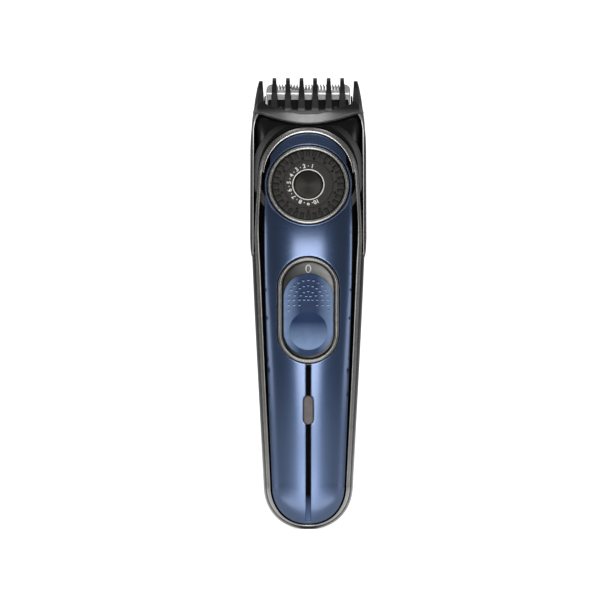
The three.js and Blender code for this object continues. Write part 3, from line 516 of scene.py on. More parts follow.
def collar_outline(inset):
    """The round head of the front housing, down to far below its foot."""
    radius, top = COLLAR_R - inset, COLLAR_TOP - inset
    curve = arc(radius, COLLAR_Z, 0, math.asin((top - COLLAR_Z) / radius), 60)
    return mirrored(np.vstack([[(0, -5), (30, -5), (30, COLLAR_Z)], curve, [(0, top)]]))


def arm_channels():
    """Room for the comb's arms, on both sides."""
    reach, bottom, top = 6.5, -12.8, 60
    sides = [(-30, -21.0), (21.0, 30)]
    return [block("channel", (left, -reach, bottom), (right, reach, top), in_head) for left, right in sides]


def screw_places():
    """Where the housing screws sit, as (x, z)."""
    return [(side * SCREW_X, z) for z in (SCREW_LOW, SCREW_HIGH) for side in (-1, 1)]


# ---------------------------------------------------------------- housings and fascia
def rear_housing():
    """Rear shell with screw wells, socket hole and arm channels. Its rib blocks the view through the seam."""
    shell = half_body("rear_shell", 1, 0, GAP / 2, HEAD_TOP, soft=0.25)
    cut(shell, half_body("cavity", 1, REAR_SHELL, -2, HEAD_TOP + 10, coarse=2))
    well = [(0, 30), (2.3, 30), (2.3, 6.2), (1.2, 5.9), (1.2, -4), (0, -4)]
    for x, z in screw_places():
        cut(shell, lathe("well", well, (x, z), shifted))
    cut(shell, rod_z("socket_hole", SOCKET_R + GAP, -1, 6, 0, SOCKET_Y), *arm_channels())
    shell = joined("rear_shell", [shell, block("rib", (-0.5, -4, 9.6), (0.5, 7, 118), shifted)])
    tidy(shell, 34)
    return shell


def rod_z(name, radius, z0, z1, x, y, steps=64):
    """An upright round bar, with its depth y from the body's centreline."""
    turn = np.linspace(0, 2 * math.pi, steps, endpoint=False)
    across, back = x + radius * np.cos(turn), DEPTH_SHIFT + y + radius * np.sin(turn)
    return loft(name, [stacked(across, back, z) for z in (z0, z1)])


def shifted(x, y, z):
    """Points of the upright frame, with their depth y from the body's centreline."""
    return stacked(x, np.asarray(y) + DEPTH_SHIFT, z)


def front_housing():
    """Front shell with the pocket that the plate and the ring lie in."""
    shell = half_body("front_shell", -1, 0, GAP / 2, BEYOND, soft=0.25)
    common(shell, prism("collar", collar_outline(0), -FAR, FAR))
    pocket = half_body("pocket", -1, -2, SIDE_LIMIT - GAP, BEYOND)
    area = ring_outline(RING_BOTTOM - GAP, -GAP, RING_ARC_R + GAP)
    common(pocket, prism("area", area, -FAR, FAR))
    cut(pocket, half_body("floor", -1, RECESS, -5, BEYOND))
    cut(shell, pocket)
    cavity = half_body("cavity", -1, SHELL, -2, BEYOND, coarse=2)
    common(cavity, prism("inner_collar", collar_outline(COLLAR_WALL), -FAR, FAR))
    cut(shell, cavity)
    well = [(0, -40), (16, -40), (16, -8.4), (13.9, -8.4), (13.9, -7), (1.9, -7), (1.9, 2), (0, 2)]
    cut(shell, lathe("dial_well", well, (0, DIAL_S), in_head))
    cut(shell, prism("switch_opening", stadium(SWITCH_W + GAP, SWITCH_H + GAP), -10, 9, in_switch))
    cut(shell, prism("lens_opening", stadium(LENS_W + GAP, LENS_H + GAP, LENS_Z), -30, -5, shifted))
    cut(shell, *arm_channels())
    tidy(shell, 34)
    return shell


def trim_ring():
    """Polished bead round the plate, swept between its outer and inner outlines."""
    outer = ring_outline(RING_BOTTOM, 0, RING_ARC_R)
    inner = ring_outline(RING_INNER_BOTTOM, RING_WIDTH, RING_ARC_INNER)
    turn = np.linspace(0, math.pi, 13)
    across = np.concatenate([[0], 0.5 - 0.5 * np.cos(turn), [1]])
    lift = np.concatenate([[-SKIN], -0.1 + 0.5 * np.sin(turn) ** 0.35, [-SKIN]])
    rings = [on_front(*(outer * (1 - u) + inner * u).T, -h) for u, h in zip(across, lift)]
    return loft("ring", rings, 50, closed=True)


def on_front_head(x, s, inset=0.0):
    """Points of the front surface at x whose height in the head's frame is s."""
    x, s = np.broadcast_arrays(np.asarray(x, float), s)
    t = HEAD_T + s
    for _ in range(12):
        point = bend(x, -depth_at(x, t, inset, -1), t)
        height = (point[..., 1] - HEAD_Y) * math.sin(LEAN) + (point[..., 2] - HEAD_Z) * math.cos(LEAN)
        t = t + s - height
    return point


def centre_opening():
    """Opening down the plate's middle: the slot for the strips, widened for the lens and the switch."""
    slot, low = STRIP_W + FINE_GAP, STRIP_BOTTOM - FINE_GAP
    lens = stadium(LENS_W + 2 * FINE_GAP, LENS_H + 2 * FINE_GAP, LENS_Z, 40)
    lens = lens[lens[:, 0] > slot]
    lens = lens[np.argsort(lens[:, 1])]
    switch = stadium(SWITCH_W + GAP, SWITCH_H + GAP, 0, 60) * (1, math.cos(SWITCH_LEAN)) + (0, SWITCH_Z)
    right = switch[switch[:, 0] > slot]
    start = np.argmin(right[:, 1])
    right = np.roll(right, -start, 0)
    half = np.vstack([
        [(0, low), (slot, low), (slot, lens[0, 1])], lens, [(slot, lens[-1, 1]), (slot, right[0, 1])],
        right, [(0, switch[:, 1].max())],
    ])
    return resampled(mirrored(half), 0.3)


def front_plate():
    """Metallic plate with rounded edges and the round rim that stands up round the dial."""
    rim_hole = on_front_head(*(circle(16.3, DIAL_S, 220)).T)
    rim_hole = rim_hole[:, [0, 2]]
    outline = resampled(plate_outline(), 0.35)
    edges = rounded_edge(0.3, SKIN), rounded_edge(0.1, SKIN)
    sheet = plate("plate", outline, [centre_opening(), rim_hole], on_front, edges[0], 0.6, 40, edges[1])
    crown = arc(0.32, 0, math.pi, 0, 11) * (1, -1) + (16.17, -12.08)
    profile = [(15.85, -6), *map(tuple, crown), (16.49, -6)]
    surround = lathe("surround", profile, (0, DIAL_S), in_head, 220, 50)
    return sheet, surround


def centre_strip(name, bottom, top):
    """Black inlay, a little proud of the plate."""
    half = [(0, bottom), (STRIP_W, bottom), (STRIP_W, top), (0, top)]
    outline = resampled(mirrored(half), 0.3)
    edge = rounded_edge(STRIP_PROUD, SKIN + STRIP_PROUD)
    return plate(name, outline, [], proud(STRIP_PROUD), edge, 0.6)


def indicator_lens():
    """Window of the status light, with a well-rounded edge."""
    outline = stadium(LENS_W, LENS_H, LENS_Z, 40)
    return plate("lens", outline, [], proud(LENS_PROUD), rounded_edge(0.45, 1.6, 8), 0.35)


# ---------------------------------------------------------------- power switch
def swept_stadium(name, outer, inner, z, profile, place):
    """Ring between two stadiums, with a closed profile of (share of the way inwards, depth)."""
    big, small = stadium(*outer, z, 64), stadium(*inner, z, 64)
    rings = []
    for u, y in profile:
        x, up = (big * (1 - u) + small * u).T
        rings.append(place(x, y, up))
    return loft(name, rings, 50, closed=True)


def switch_bezel():
    """Polished oval with a bright convex lip."""
    crown = [(0.5 - 0.5 * math.cos(a), 0.3 - 0.85 * math.sin(a) ** 0.9) for a in np.linspace(0, math.pi, 15)]
    profile = [(0, 2.95), *crown, (1, 2.95)]
    inner = (SWITCH_W - BEZEL_WALL, SWITCH_H - BEZEL_WALL)
    return swept_stadium("switch_lip", (SWITCH_W, SWITCH_H), inner, 0, profile, in_switch)


def switch_well():
    """Sloping inner wall and brushed floor of the recess, with the slot for the slider."""
    wide, high = SWITCH_W - BEZEL_WALL - 0.04, SWITCH_H - BEZEL_WALL - 0.04
    profile = [(0, 1.5), (0, 0.3), (0.3, 0.15), (0.7, 0.3), (1, 1.0), (1, 1.5)]
    wall = swept_stadium("well_wall", (wide, high), (wide - 0.22, high - 0.22), 0, profile, in_switch)
    slot = resampled(np.array([(-2.3, -6), (2.3, -6), (2.3, 6.8), (-2.3, 6.8)], float), 0.3)
    outline = resampled(stadium(wide - 0.26, high - 0.26), 0.3)
    edge = rounded_edge(0.1, 1.8)
    return wall, plate("well_floor", outline, [slot], level(in_switch, WELL_DEPTH), edge, 0.9)


def dimples():
    """Centres of the dents on the button, on arcs round its grip, with short legs below the outer ones."""
    centre_z, leg = 4.05, 2.0
    dots = [(0, centre_z)]
    for radius, step, legs in [(7.5, 15, 2), (5.4, 18, 1), (3.3, 30, 1), (1.6, 60, 0)]:
        for angle in np.radians(np.arange(0, 181, step)):
            dots.append((radius * math.cos(angle), centre_z + radius * math.sin(angle)))
        dots += [(side * radius, centre_z - leg * k) for k in range(1, legs + 1) for side in (-1, 1)]
    return np.array(dots)


def button_face(x, z):
    """Depth of the button's face: slightly crowned, with a round scooped dish and a grip of dents."""
    dish_z = BUTTON_Z - BUTTON_H + BUTTON_W
    away = np.hypot(x, z - dish_z) / DISH_R
    depth = BUTTON_TOP + DISH_DEPTH * np.clip(1 - away**2, 0, 1) + BUTTON_CROWN * (x / BUTTON_W) ** 4
    for dot_x, dot_z in dimples():
        near = np.hypot(x - dot_x, z - dot_z) / DENT_R
        depth = depth + DENT_DEPTH * np.clip(1 - near**2, 0, 1)
    return depth


def switch_button():
    """Sliding thumb button: a ramp with a grip of dents, down to a round dish."""
    def lift(x, z, depth):
        face = np.clip(button_face(x, z) + depth, -1.75, 1.1)
        return in_switch(x, np.where(depth < 0.9, face, 1.3), z)

    outline = resampled(stadium(BUTTON_W, BUTTON_H, BUTTON_Z, 100), 0.3)
    return plate("thumb_button", outline, [], lift, rounded_edge(0.35, 2.2, 8), 0.2, 60)


def grip_highlight_rims():
    """Raised lower lip of each dent of the grip, coloured light blue as a painted highlight on the dents' lit
    lower edges.
    """
    rims, radius = [], 0.46
    turn = np.radians(np.linspace(200, 340, 9))
    around = np.linspace(0, 2 * math.pi, 9)[:-1]
    for x, z in dimples():
        middle = np.stack([x + radius * np.cos(turn), z + radius * np.sin(turn)], 1)
        depth = BUTTON_TOP + BUTTON_CROWN * (x / BUTTON_W) ** 4
        rings = []
        for i, centre in enumerate(middle):
            out = (centre - (x, z)) / radius
            thick = 0.15 * math.sin(math.pi * (i + 0.6) / 9.2)
            spread = centre + thick * np.cos(around)[:, None] * out
            rings.append(in_switch(spread[:, 0], depth + 0.9 * thick * np.sin(around), spread[:, 1]))
        rims.append(loft("rim", rings))
    return joined("grip_highlight_rims", rims)


def zero_mark():
    """The off position's numeral, on the recess floor above the button."""
    turn = np.linspace(0, 2 * math.pi, 49)[:-1]
    sizes = [(0.74, 1.22), (1.08, 1.58)]
    inner, outer = [np.stack([w * np.cos(turn), ZERO_Z + h * np.sin(turn)], 1) for w, h in sizes]
    lift = level(in_switch, WELL_DEPTH - 0.04)
    return plate("zero", outer, [inner], lift, rounded_edge(0.02, 0.06, 2), 0.5)


# ---------------------------------------------------------------- dial
def dial_bezel():
    """Chrome ring round the dial, with a rounded face."""
    turn = np.linspace(0, math.pi, 17)
    crown = [(14.75 + 0.7 * math.cos(a), -12.15 - 0.42 * math.sin(a) ** 0.4) for a in turn]
    profile = [(15.45, -8.75), *crown, (14.05, -8.75)]
    return lathe("dial_lip", profile, (0, DIAL_S), in_head, 220, 50)


def dial_wheel():
    """Turning wheel: a flat face with a groove, and notches round its rim."""
    turns = NOTCHES * 18
    angle = np.linspace(0, 2 * math.pi, turns, endpoint=False)
    radii = np.array([
        DIAL_BORE, 5.85, 6, 7.5, 9.1, 9.2, 9.3, 9.5, 9.6, 9.7, 10.5, 11.2, 11.35, 11.5, 12.3, 13.1, 13.35,
        13.5, 13.6, DIAL_R,
    ])
    groove = [(DIAL_BORE, 0.1), (5.85, 0), (9.2, 0), (9.3, 0.3), (9.5, 0.3), (9.6, 0)]
    edge = [(13.35, 0), (13.6, 0.12), (DIAL_R, 0.3)]
    sunk = np.interp(radii, *zip(*groove, *edge))
    phase = (angle / (2 * math.pi) * NOTCHES + 0.5) % 1 - 0.5
    notch = np.clip((0.32 - np.abs(phase)) / 0.07, 0, 1)
    reach = np.clip((radii - 11.25) / 0.25, 0, 1) * np.clip((13.5 - radii) / 0.15, 0, 1)
    face = DIAL_FRONT + sunk[None] + NOTCH_DEPTH * notch[:, None] * reach[None]
    x = radii[None] * np.cos(angle)[:, None]
    z = DIAL_S + radii[None] * np.sin(angle)[:, None]
    rows = in_head(x, face, z)
    back = DIAL_FRONT + 3
    rim = in_head(DIAL_R * np.cos(angle), back, DIAL_S + DIAL_R * np.sin(angle))
    bore = in_head(DIAL_BORE * np.cos(angle), back, DIAL_S + DIAL_BORE * np.sin(angle))
    rings = np.concatenate([rows, rim[:, None], bore[:, None]], 1)
    faces = grid_faces(turns, rings.shape[1], close_rows=True, close_columns=True)
    return make("dial_wheel", rings.reshape(-1, 3), faces, 35)


def dial_cap():
    """Spun metal disc at the dial's centre, very slightly domed, in a thin bright rim."""
    radius = np.array([0, 1, 2, 3, 4, 4.9, 5.1, 5.3, 5.38])
    height = np.array([-12.5, -12.49, -12.475, -12.45, -12.42, -12.38, -12.36, -12.3, -12.2])
    profile = [*zip(radius, height), (5.38, -11.8), (0, -11.8)]
    return lathe("dial_disc", profile, (0, DIAL_S), in_head, 160, 50)


def dial_text(text, size, angle, radius):
    """A numeral as a thin flat mesh, with its foot towards the dial's centre."""
    curve = bpy.data.curves.new("numeral", "FONT")
    curve.body = text
    curve.size = size
    curve.align_x = curve.align_y = "CENTER"
    curve.extrude = 0.02
    curve.offset = 0.045
    curve.resolution_u = 6
    text_object = bpy.data.objects.new("numeral", curve)
    bpy.context.scene.collection.objects.link(text_object)
    mesh = bpy.data.meshes.new_from_object(text_object.evaluated_get(bpy.context.evaluated_depsgraph_get()))
    bpy.data.objects.remove(text_object)
    points = np.array([v.co for v in mesh.vertices])
    turn = angle - math.pi / 2
    x = points[:, 0] * math.cos(turn) - points[:, 1] * math.sin(turn) + radius * math.cos(angle)
    z = points[:, 0] * math.sin(turn) + points[:, 1] * math.cos(turn) + radius * math.sin(angle)
    mesh.vertices.foreach_set("co", (in_head(x, DIAL_FRONT - 0.02 - points[:, 2], DIAL_S + z) * MM).ravel())
    mesh.update()
    numeral = bpy.data.objects.new("numeral", mesh)
    bpy.context.scene.collection.objects.link(numeral)
    tidy(numeral)
    return numeral


def dial_marks():
    """Scale of the dial, inside its groove: a number for each setting and a dot between each two."""
    marks = []
    for i in range(SETTINGS):
        angle = math.radians(SCALE_START + SCALE_STEP * i)
        marks.append(dial_text(str(i + 1), 2.2, angle, SCALE_R))
        if i < SETTINGS - 1:
            marks.append(dial_dot(0.2, SCALE_R, angle + math.radians(SCALE_STEP / 2)))
    return joined("dial_numbers", marks)


def dial_dents():
    """Dark dots all round the dial, outside its groove."""
    angles = [math.radians(SCALE_START + SCALE_STEP * i) for i in range(15)]
    return joined("dial_dots", [dial_dot(0.55, 10.5, angle) for angle in angles])


def dial_dot(size, radius, angle):
    """Thin round dot on the dial's face."""
    x, z = radius * math.cos(angle), radius * math.sin(angle)
    return rod("dot", size, DIAL_FRONT - 0.04, DIAL_FRONT + 0.02, x, DIAL_S + z, in_head, 16)


def dial_circle():
    """Thin bright circle round the disc."""
    profile = [(5.78, -12.36), (5.85, -12.44), (6.1, -12.44), (6.17, -12.36)]
    return lathe("dial_circle", profile, (0, DIAL_S), in_head, 160, 50)


# ---------------------------------------------------------------- comb guard, in the head's frame
def head_block(name, rows, power=SECTION_POWER, steps=144):
    """Rounded block of one superellipse per station [s, half width, front depth, back depth]."""
    turn = np.linspace(0, 2 * math.pi, steps, endpoint=False)
    c, n = np.cos(turn), np.sin(turn)
    rings = []
    for s, width, front, back in rows:
        depth = np.where(n < 0, front, back)
        x = width * np.sign(c) * np.abs(c) ** (2 / power)
        rings.append(in_head(x, depth * np.sign(n) * np.abs(n) ** (2 / power), s))
    return loft(name, rings)


def curve_between(low, high, reach, steps=49):
    """Points (x, s) of a parabola that is at low in the middle and at high at x = reach."""
    x = np.linspace(-COMB_EDGE, COMB_EDGE, steps)
    return np.stack([x, low + (high - low) * (x / reach) ** 2], 1)


def comb_tooth(x, drop):
    """Curved tooth at x that thins towards its tip, which is lower by drop."""
    outline = np.array(TOOTH_SIDE, float)
    behind = 11.3 * (1 - (1 - (abs(x) / 22) ** SECTION_POWER) ** (1 / SECTION_POWER))
    outline[:, 0] += behind * np.clip((56 - outline[:, 1]) / 12, 0, 1)
    outline[:, 1] -= drop * np.clip((outline[:, 1] - 48) / 8, 0, 1)
    outline[:, 1] = np.maximum(outline[:, 1], 38 + 5.9 * (x / COMB_REACH) ** 2)
    half = np.interp(outline[:, 1], [44, 46.6, 48.5, 53, 58], [1.5, 1.3, 1.08, 0.84, 0.74])
    rings = [in_head(x + side * half, outline[:, 0], outline[:, 1]) for side in (-1, 1)]
    return loft("tooth", rings)


def comb_arm(side):
    """Side arm of the comb, rounded off with the body behind it."""
    outline = resampled(np.array(ARM_OUTLINE, float), 0.5) * (side, 1)
    arm = prism("arm", outline, -7, 3.45, in_head)
    return common(arm, head_block("round", ARM_ROWS))


def comb_deck():
    """Ramp that the teeth grow out of, with a round-bottomed slot between each two teeth."""
    slot, high = 1.6, 47.5
    turn = np.linspace(math.pi, 2 * math.pi, 13)
    top = []
    for i in range(COMB_TEETH - 1):
        x = (i - (COMB_TEETH - 2) / 2) * COMB_PITCH
        low = 42.35 + 3.1 * (x / 15.5) ** 2
        round_bottom = zip(x + slot * np.cos(turn), low + 1.5 + 1.5 * np.sin(turn))
        top += [(x - slot, high), *round_bottom, (x + slot, high)]
    bottom = curve_between(37.4, 43.6, COMB_REACH)
    loop = np.vstack([bottom, [(COMB_EDGE, high)], top[::-1], [(-COMB_EDGE, high)]])
    outer = head_block("deck", DECK_ROWS)
    cut(outer, head_block("hollow", DECK_HOLLOW))
    return common(outer, prism("slots", loop, -30, COMB_BACK, in_head))


def comb_guard():
    """Comb in one moulding: the satin front band, the ramp, the teeth and the side arms."""
    band = head_block("band", BAND_ROWS)
    cut(band, head_block("hollow", BAND_HOLLOW))
    edges = np.vstack([curve_between(36.9, 42.8, COMB_REACH), curve_between(40.3, 47.1, 19)[::-1]])
    common(band, prism("crescent", edges, -30, COMB_BACK, in_head))
    parts = [band, comb_deck(), comb_arm(-1), comb_arm(1)]
    for i in range(COMB_TEETH):
        outermost = i in (0, COMB_TEETH - 1)
        parts.append(comb_tooth((i - (COMB_TEETH - 1) / 2) * COMB_PITCH, 1.2 if outermost else 0))
    guard = joined("guard", parts)
    remesh = guard.modifiers.new("remesh", "REMESH")
    remesh.mode, remesh.voxel_size = "VOXEL", COMB_VOXEL * MM
    relax = guard.modifiers.new("relax", "SMOOTH")
    relax.factor, relax.iterations = 0.5, 4
    baked(guard)
    tidy(guard, 60, 1e-7)
    return guard


# ---------------------------------------------------------------- neck and blades, in the head's frame
def neck_frame():
    """Gloss shoulders beside the collar and the block that the blades stand on."""
    neck = head_block("neck", NECK_ROWS)
    cut(neck, block("seat", (-16.2, -30, 42.3), (16.2, 5.5, 60), in_head))
    cut(neck, block("rear_room", (-30, -0.45, 0), (30, 30, 38.3), in_head))
    collar = prism("collar", collar_outline(-FINE_GAP), -FAR, FAR)
    common(collar, block("below", (-40, -40, -40), (40, 40, 38.9), in_head))
    cut(neck, collar, block("bore", (-14, -5, 0), (14, 5.9, 60), in_head))
    tidy(neck, 34)
    return neck


def blade_outline(half_width, bottom, root, tip, teeth, slant, corner):
    """Blade with a row of slanted teeth and rounded top corners."""
    inner = half_width - corner
    pitch = 2 * (inner - 0.3) / teeth
    turn = np.linspace(0, math.pi / 2, 9)
    ear = np.stack([inner + corner * np.cos(turn), tip - corner + corner * np.sin(turn)], 1)
    points = [(-half_width, bottom), (half_width, bottom), *ear, (inner - 0.1, root)]
    for i in range(teeth - 1, -1, -1):
        x = (i - (teeth - 1) / 2) * pitch
        points += [(x + pitch * 0.3, root), (x + pitch * 0.2 + slant, tip - 0.1), (x + slant, tip),
                   (x - pitch * 0.2 + slant, tip - 0.1), (x - pitch * 0.3, root)]
    points += [(-inner + 0.1, root), *(ear[::-1] * (-1, 1))]
    return resampled(np.array(points, float), 0.09)


def fixed_blade():
    """Comb-shaped blade that stands still, with two pressed ridges below its teeth."""
    outline = blade_outline(16, 42.9, 52.6, 54.9, 24, -0.35, 2.2)
    holes = [circle(BLADE_SCREW_HOLE, BLADE_SCREW_S, 24) + (side * BLADE_SCREW_X, 0) for side in (-1, 1)]

    def lift(x, z, depth):
        ridge = 0.18 * np.exp(-(((z - 52.0) / 0.16) ** 2)) + 0.1 * np.exp(-(((z - 51.3) / 0.14) ** 2))
        return in_head(x, -3.4 + depth + np.where(depth < 0.3, 0.2 - ridge, 0), z)

    return plate("comb_blade", outline, holes, lift, rounded_edge(0.08, 1.0, 3), 0.3, 30)


def moving_blade():
    """Cutting blade, which slides behind the fixed one."""
    outline = blade_outline(14, 46.1, 52.3, 54.5, 21, 0.3, 1.2)
    edge = rounded_edge(0.08, 0.9, 3)
    return plate("cutting_blade", outline, [], level(in_head, -2.1), edge, 0.5, 30)


def rounded_block(name, low, high, radius):
    """A block of the head's frame with rounded edges."""
    piece = block(name, low, high, in_head)
    tidy(piece)
    bevel = piece.modifiers.new("bevel", "BEVEL")
    bevel.width, bevel.segments, bevel.limit_method = radius * MM, 4, "ANGLE"
    return piece


def blade_screw_holes(back):
    """Tools for the two screw holes, down to the depth back."""
    return [rod("hole", BLADE_SCREW_HOLE, -10, back, side * BLADE_SCREW_X, BLADE_SCREW_S, in_head, 32)
            for side in (-1, 1)]


def blade_cover():
    """Black strip that clamps the fixed blade."""
    cover = baked(rounded_block("cover", (-15.4, -4.6, 42.9), (15.4, -3.7, 48.4), 0.25))
    cut(cover, *blade_screw_holes(10))
    tidy(cover, 50)
    return cover


def blade_holder():
    """Block behind the blades, with room for the moving blade, its driver and its spring."""
    holder = baked(rounded_block("holder", (-15.6, -2.1, 42.6), (15.6, 5.2, 50.6), 0.5))
    cut(holder, block("blade_room", (-20, -3, 45.8), (20, -0.9, 60), in_head))
    cut(holder, block("driver_room", (-5.2, -3, 40), (5.2, 1.9, 60), in_head))
    cut(holder, block("spring_room", (-6.2, 1, 40), (6.2, 3, 48.6), in_head))
    cut(holder, *blade_screw_holes(2.4))
    tidy(holder, 34)
    return holder


def cross_screw(name, profile, x, z, place, steps, arm, front, back):
    """Turned screw with a cross recess between depths front and back. arm is half the size of a slot."""
    screw = lathe(name, profile, (x, z), place, steps)
    for wide, high in (arm, arm[::-1]):
        cut(screw, block("cross", (x - wide, front, z - high), (x + wide, back, z + high), place))
    tidy(screw, 34)
    return screw


def blade_screw(side):
    """Pan-head screw, driven from the front."""
    head = [(0, -5.7), (0.75, -5.66), (1.05, -5.5), (1.2, -5.2), (1.2, -4.9)]
    profile = [*head, (0.6, -4.9), (0.6, 2), (0, 2)]
    x = side * BLADE_SCREW_X
    return cross_screw("blade_screw", profile, x, BLADE_SCREW_S, in_head, 48, (0.6, 0.13), -7, -5.35)


def housing_screw(x, z):
    """Cheese-head machine screw, driven from behind."""
    head = [(0, 8), (1.7, 8), (1.9, 7.9), (2, 7.7), (2, 6.4), (1.8, 6.2)]
    profile = [*head, (0.9, 6.2), (0.9, -5.3), (0.7, -5.5), (0, -5.5)]
    return cross_screw("screw", profile, x, z, shifted, 64, (1.2, 0.22), 7.2, 9)


def charging_socket():
    """Round socket in the foot, with its pin. The cord is not part of it."""
    pin = [(0.5, 7.5), (0.5, 1.8), (0.3, 1.5), (0, 1.5)]
    profile = [(SOCKET_R, 0.45), (2.75, 0.3), (2.0, 0.3), (1.8, 0.5), (1.8, 7.5), *pin, (0, 9), (SOCKET_R, 9)]
    steps = 96
    turn = np.linspace(0, 2 * math.pi, steps, endpoint=False)
    radius, z = np.array(profile).T
    across, back = radius[None] * np.cos(turn)[:, None], SOCKET_Y + radius[None] * np.sin(turn)[:, None]
    faces = grid_faces(steps, len(profile), close_rows=True, close_columns=True)
    return make("inlet", shifted(across, back, z[None]).reshape(-1, 3), faces)


# ---------------------------------------------------------------- materials
class Finish:
    """A node material: a principled shader whose colour, roughness and bump come from its own noise."""

    def __init__(self, name, metallic=0.0, specular=0.5):
        self.material = bpy.data.materials.new(name)
        self.material.use_nodes = True
        self.tree = self.material.node_tree
        self.shader = self.tree.nodes["Principled BSDF"]
        self.fixed("Metallic", metallic)
        self.fixed("Specular IOR Level", specular)
        self.place = self.node("ShaderNodeTexCoord").outputs["Object"]

    def fixed(self, name, value):
        """Sets an input of the shader to one value all over."""
        self.shader.inputs[name].default_value = value

    def driven(self, name, socket):
        """Lets another node drive an input of the shader."""
        self.tree.links.new(socket, self.shader.inputs[name])

    def node(self, kind, inputs=(), **settings):
        made = self.tree.nodes.new(kind)
        for key, value in settings.items():
            setattr(made, key, value)
        for key, value in dict(inputs).items():
            if isinstance(value, bpy.types.NodeSocket):
                self.tree.links.new(value, made.inputs[key])
            else:
                made.inputs[key].default_value = value
        return made

    def mapped(self, stretch=(1, 1, 1)):
        """The piece's own coordinates, scaled by stretch."""
        return self.node("ShaderNodeMapping", {"Vector": self.place, "Scale": stretch}).outputs[0]

    def around(self, centre, lean):
        """The piece's own coordinates as seen from centre, leaning about the x axis."""
        inputs = {"Vector": self.place, "Location": centre, "Rotation": (lean, 0, 0)}
        return self.node("ShaderNodeMapping", inputs, vector_type="TEXTURE").outputs[0]

    def noise(self, size, detail=3, stretch=(1, 1, 1)):
        """Noise whose features are about size millimetres across, longer along an axis stretched by less."""
        inputs = {"Vector": self.mapped(stretch), "Scale": 1 / (size * MM), "Detail": detail}
        return self.node("ShaderNodeTexNoise", inputs).outputs["Fac"]

    def ranged(self, value, low, high, start=0.3, end=0.7):
        """Value turned from the range start to end into the range low to high, and kept in it."""
        inputs = {"Value": value, "From Min": start, "From Max": end, "To Min": low, "To Max": high}
        return self.node("ShaderNodeMapRange", inputs).outputs["Result"]

    def axis(self, letter):
        """One coordinate of the shaded point, in metres, in the piece's own frame."""
        return self.node("ShaderNodeSeparateXYZ", {"Vector": self.place}).outputs[letter]

    def maths(self, operation, first, second=0.0):
        return self.node("ShaderNodeMath", {0: first, 1: second}, operation=operation).outputs[0]

    def within(self, x, z, radius, soft):
        """1 inside a circle seen from the front and 0 outside it, in millimetres, over a soft edge."""
        across = self.maths("SUBTRACT", self.axis("X"), x * MM)
        up = self.maths("SUBTRACT", self.axis("Z"), z * MM)
        squares = [self.maths("MULTIPLY", value, value) for value in (across, up)]
        away = self.maths("SQRT", self.maths("ADD", *squares))
        return self.ranged(away, 1, 0, (radius - soft) * MM, (radius + soft) * MM)

    def mixed(self, share, first, second):
        """Number between first and second, by share."""
        rise = self.maths("MULTIPLY", self.maths("SUBTRACT", second, first), share)
        return self.maths("ADD", first, rise)

    def blend(self, share, first, second):
        """Colour between first and second, by share."""
        mix = self.node("ShaderNodeMix", data_type="RGBA")
        for socket, value in [(mix.inputs[0], share), (mix.inputs[6], first), (mix.inputs[7], second)]:
            if isinstance(value, bpy.types.NodeSocket):
                self.tree.links.new(value, socket)
            else:
                socket.default_value = (*value, 1)
        return mix.outputs[2]

    def colour(self, socket):
        self.driven("Base Color", socket)

    def rough(self, socket):
        self.driven("Roughness", socket)

    def turned(self, strength):
        """Reflections stretched round the y axis, as on a face cut on a lathe."""
        self.fixed("Anisotropic", strength)
        tangent = self.node("ShaderNodeTangent", direction_type="RADIAL", axis="Y")
        self.driven("Tangent", tangent.outputs[0])

    def bump(self, height, depth, strength=1.0, below=None):
        """Bump of a depth in millimetres, on top of another bump if one is given."""
        inputs = {"Height": height, "Distance": depth * MM, "Strength": strength}
        if below:
            inputs["Normal"] = below
        normal = self.node("ShaderNodeBump", inputs).outputs["Normal"]
        self.driven("Normal", normal)
        return normal


def moulded(name, dark, light, roughness, grain=0.35, depth=0.01, specular=0.5):
    """Moulded plastic: cloudy colour, fine spark-eroded grain and uneven gloss."""
    finish = Finish(name, specular=specular)
    cloud = finish.noise(9, 4)
    speck = finish.noise(0.15, 2)
    finish.colour(finish.blend(finish.ranged(speck, 0, 0.5), finish.blend(cloud, dark, light), light))
    finish.rough(finish.ranged(finish.noise(2.5, 4), *roughness))
    ripple = finish.bump(finish.noise(6, 1), 0.006, 0.4)
    finish.bump(finish.noise(grain, 2), depth, 0.5, ripple)
    return finish.material


def plated(name, dark, light, roughness):
    """Plated plastic trim: bright metal with faint waviness and fine handling marks."""
    finish = Finish(name, metallic=1.0)
    cloud = finish.noise(7, 3)
    marks = finish.noise(0.2, 3, (1, 1, 0.08))
    finish.colour(finish.blend(cloud, dark, light))
    finish.rough(finish.ranged(marks, *roughness))
    finish.bump(finish.noise(5, 2), 0.01, 0.5)
    return finish.material


def brushed(name, dark, light, roughness, stretch, depth=0.004):
    """Ground or brushed metal, with its scratches along the axis that stretch makes small."""
    finish = Finish(name, metallic=1.0)
    scratches = finish.noise(0.12, 4, stretch)
    cloud = finish.noise(5, 3)
    finish.colour(finish.blend(finish.ranged(scratches, 0, 1), finish.blend(cloud, dark, light), light))
    finish.rough(finish.ranged(scratches, *roughness))
    finish.bump(scratches, depth, 0.6)
    return finish.material


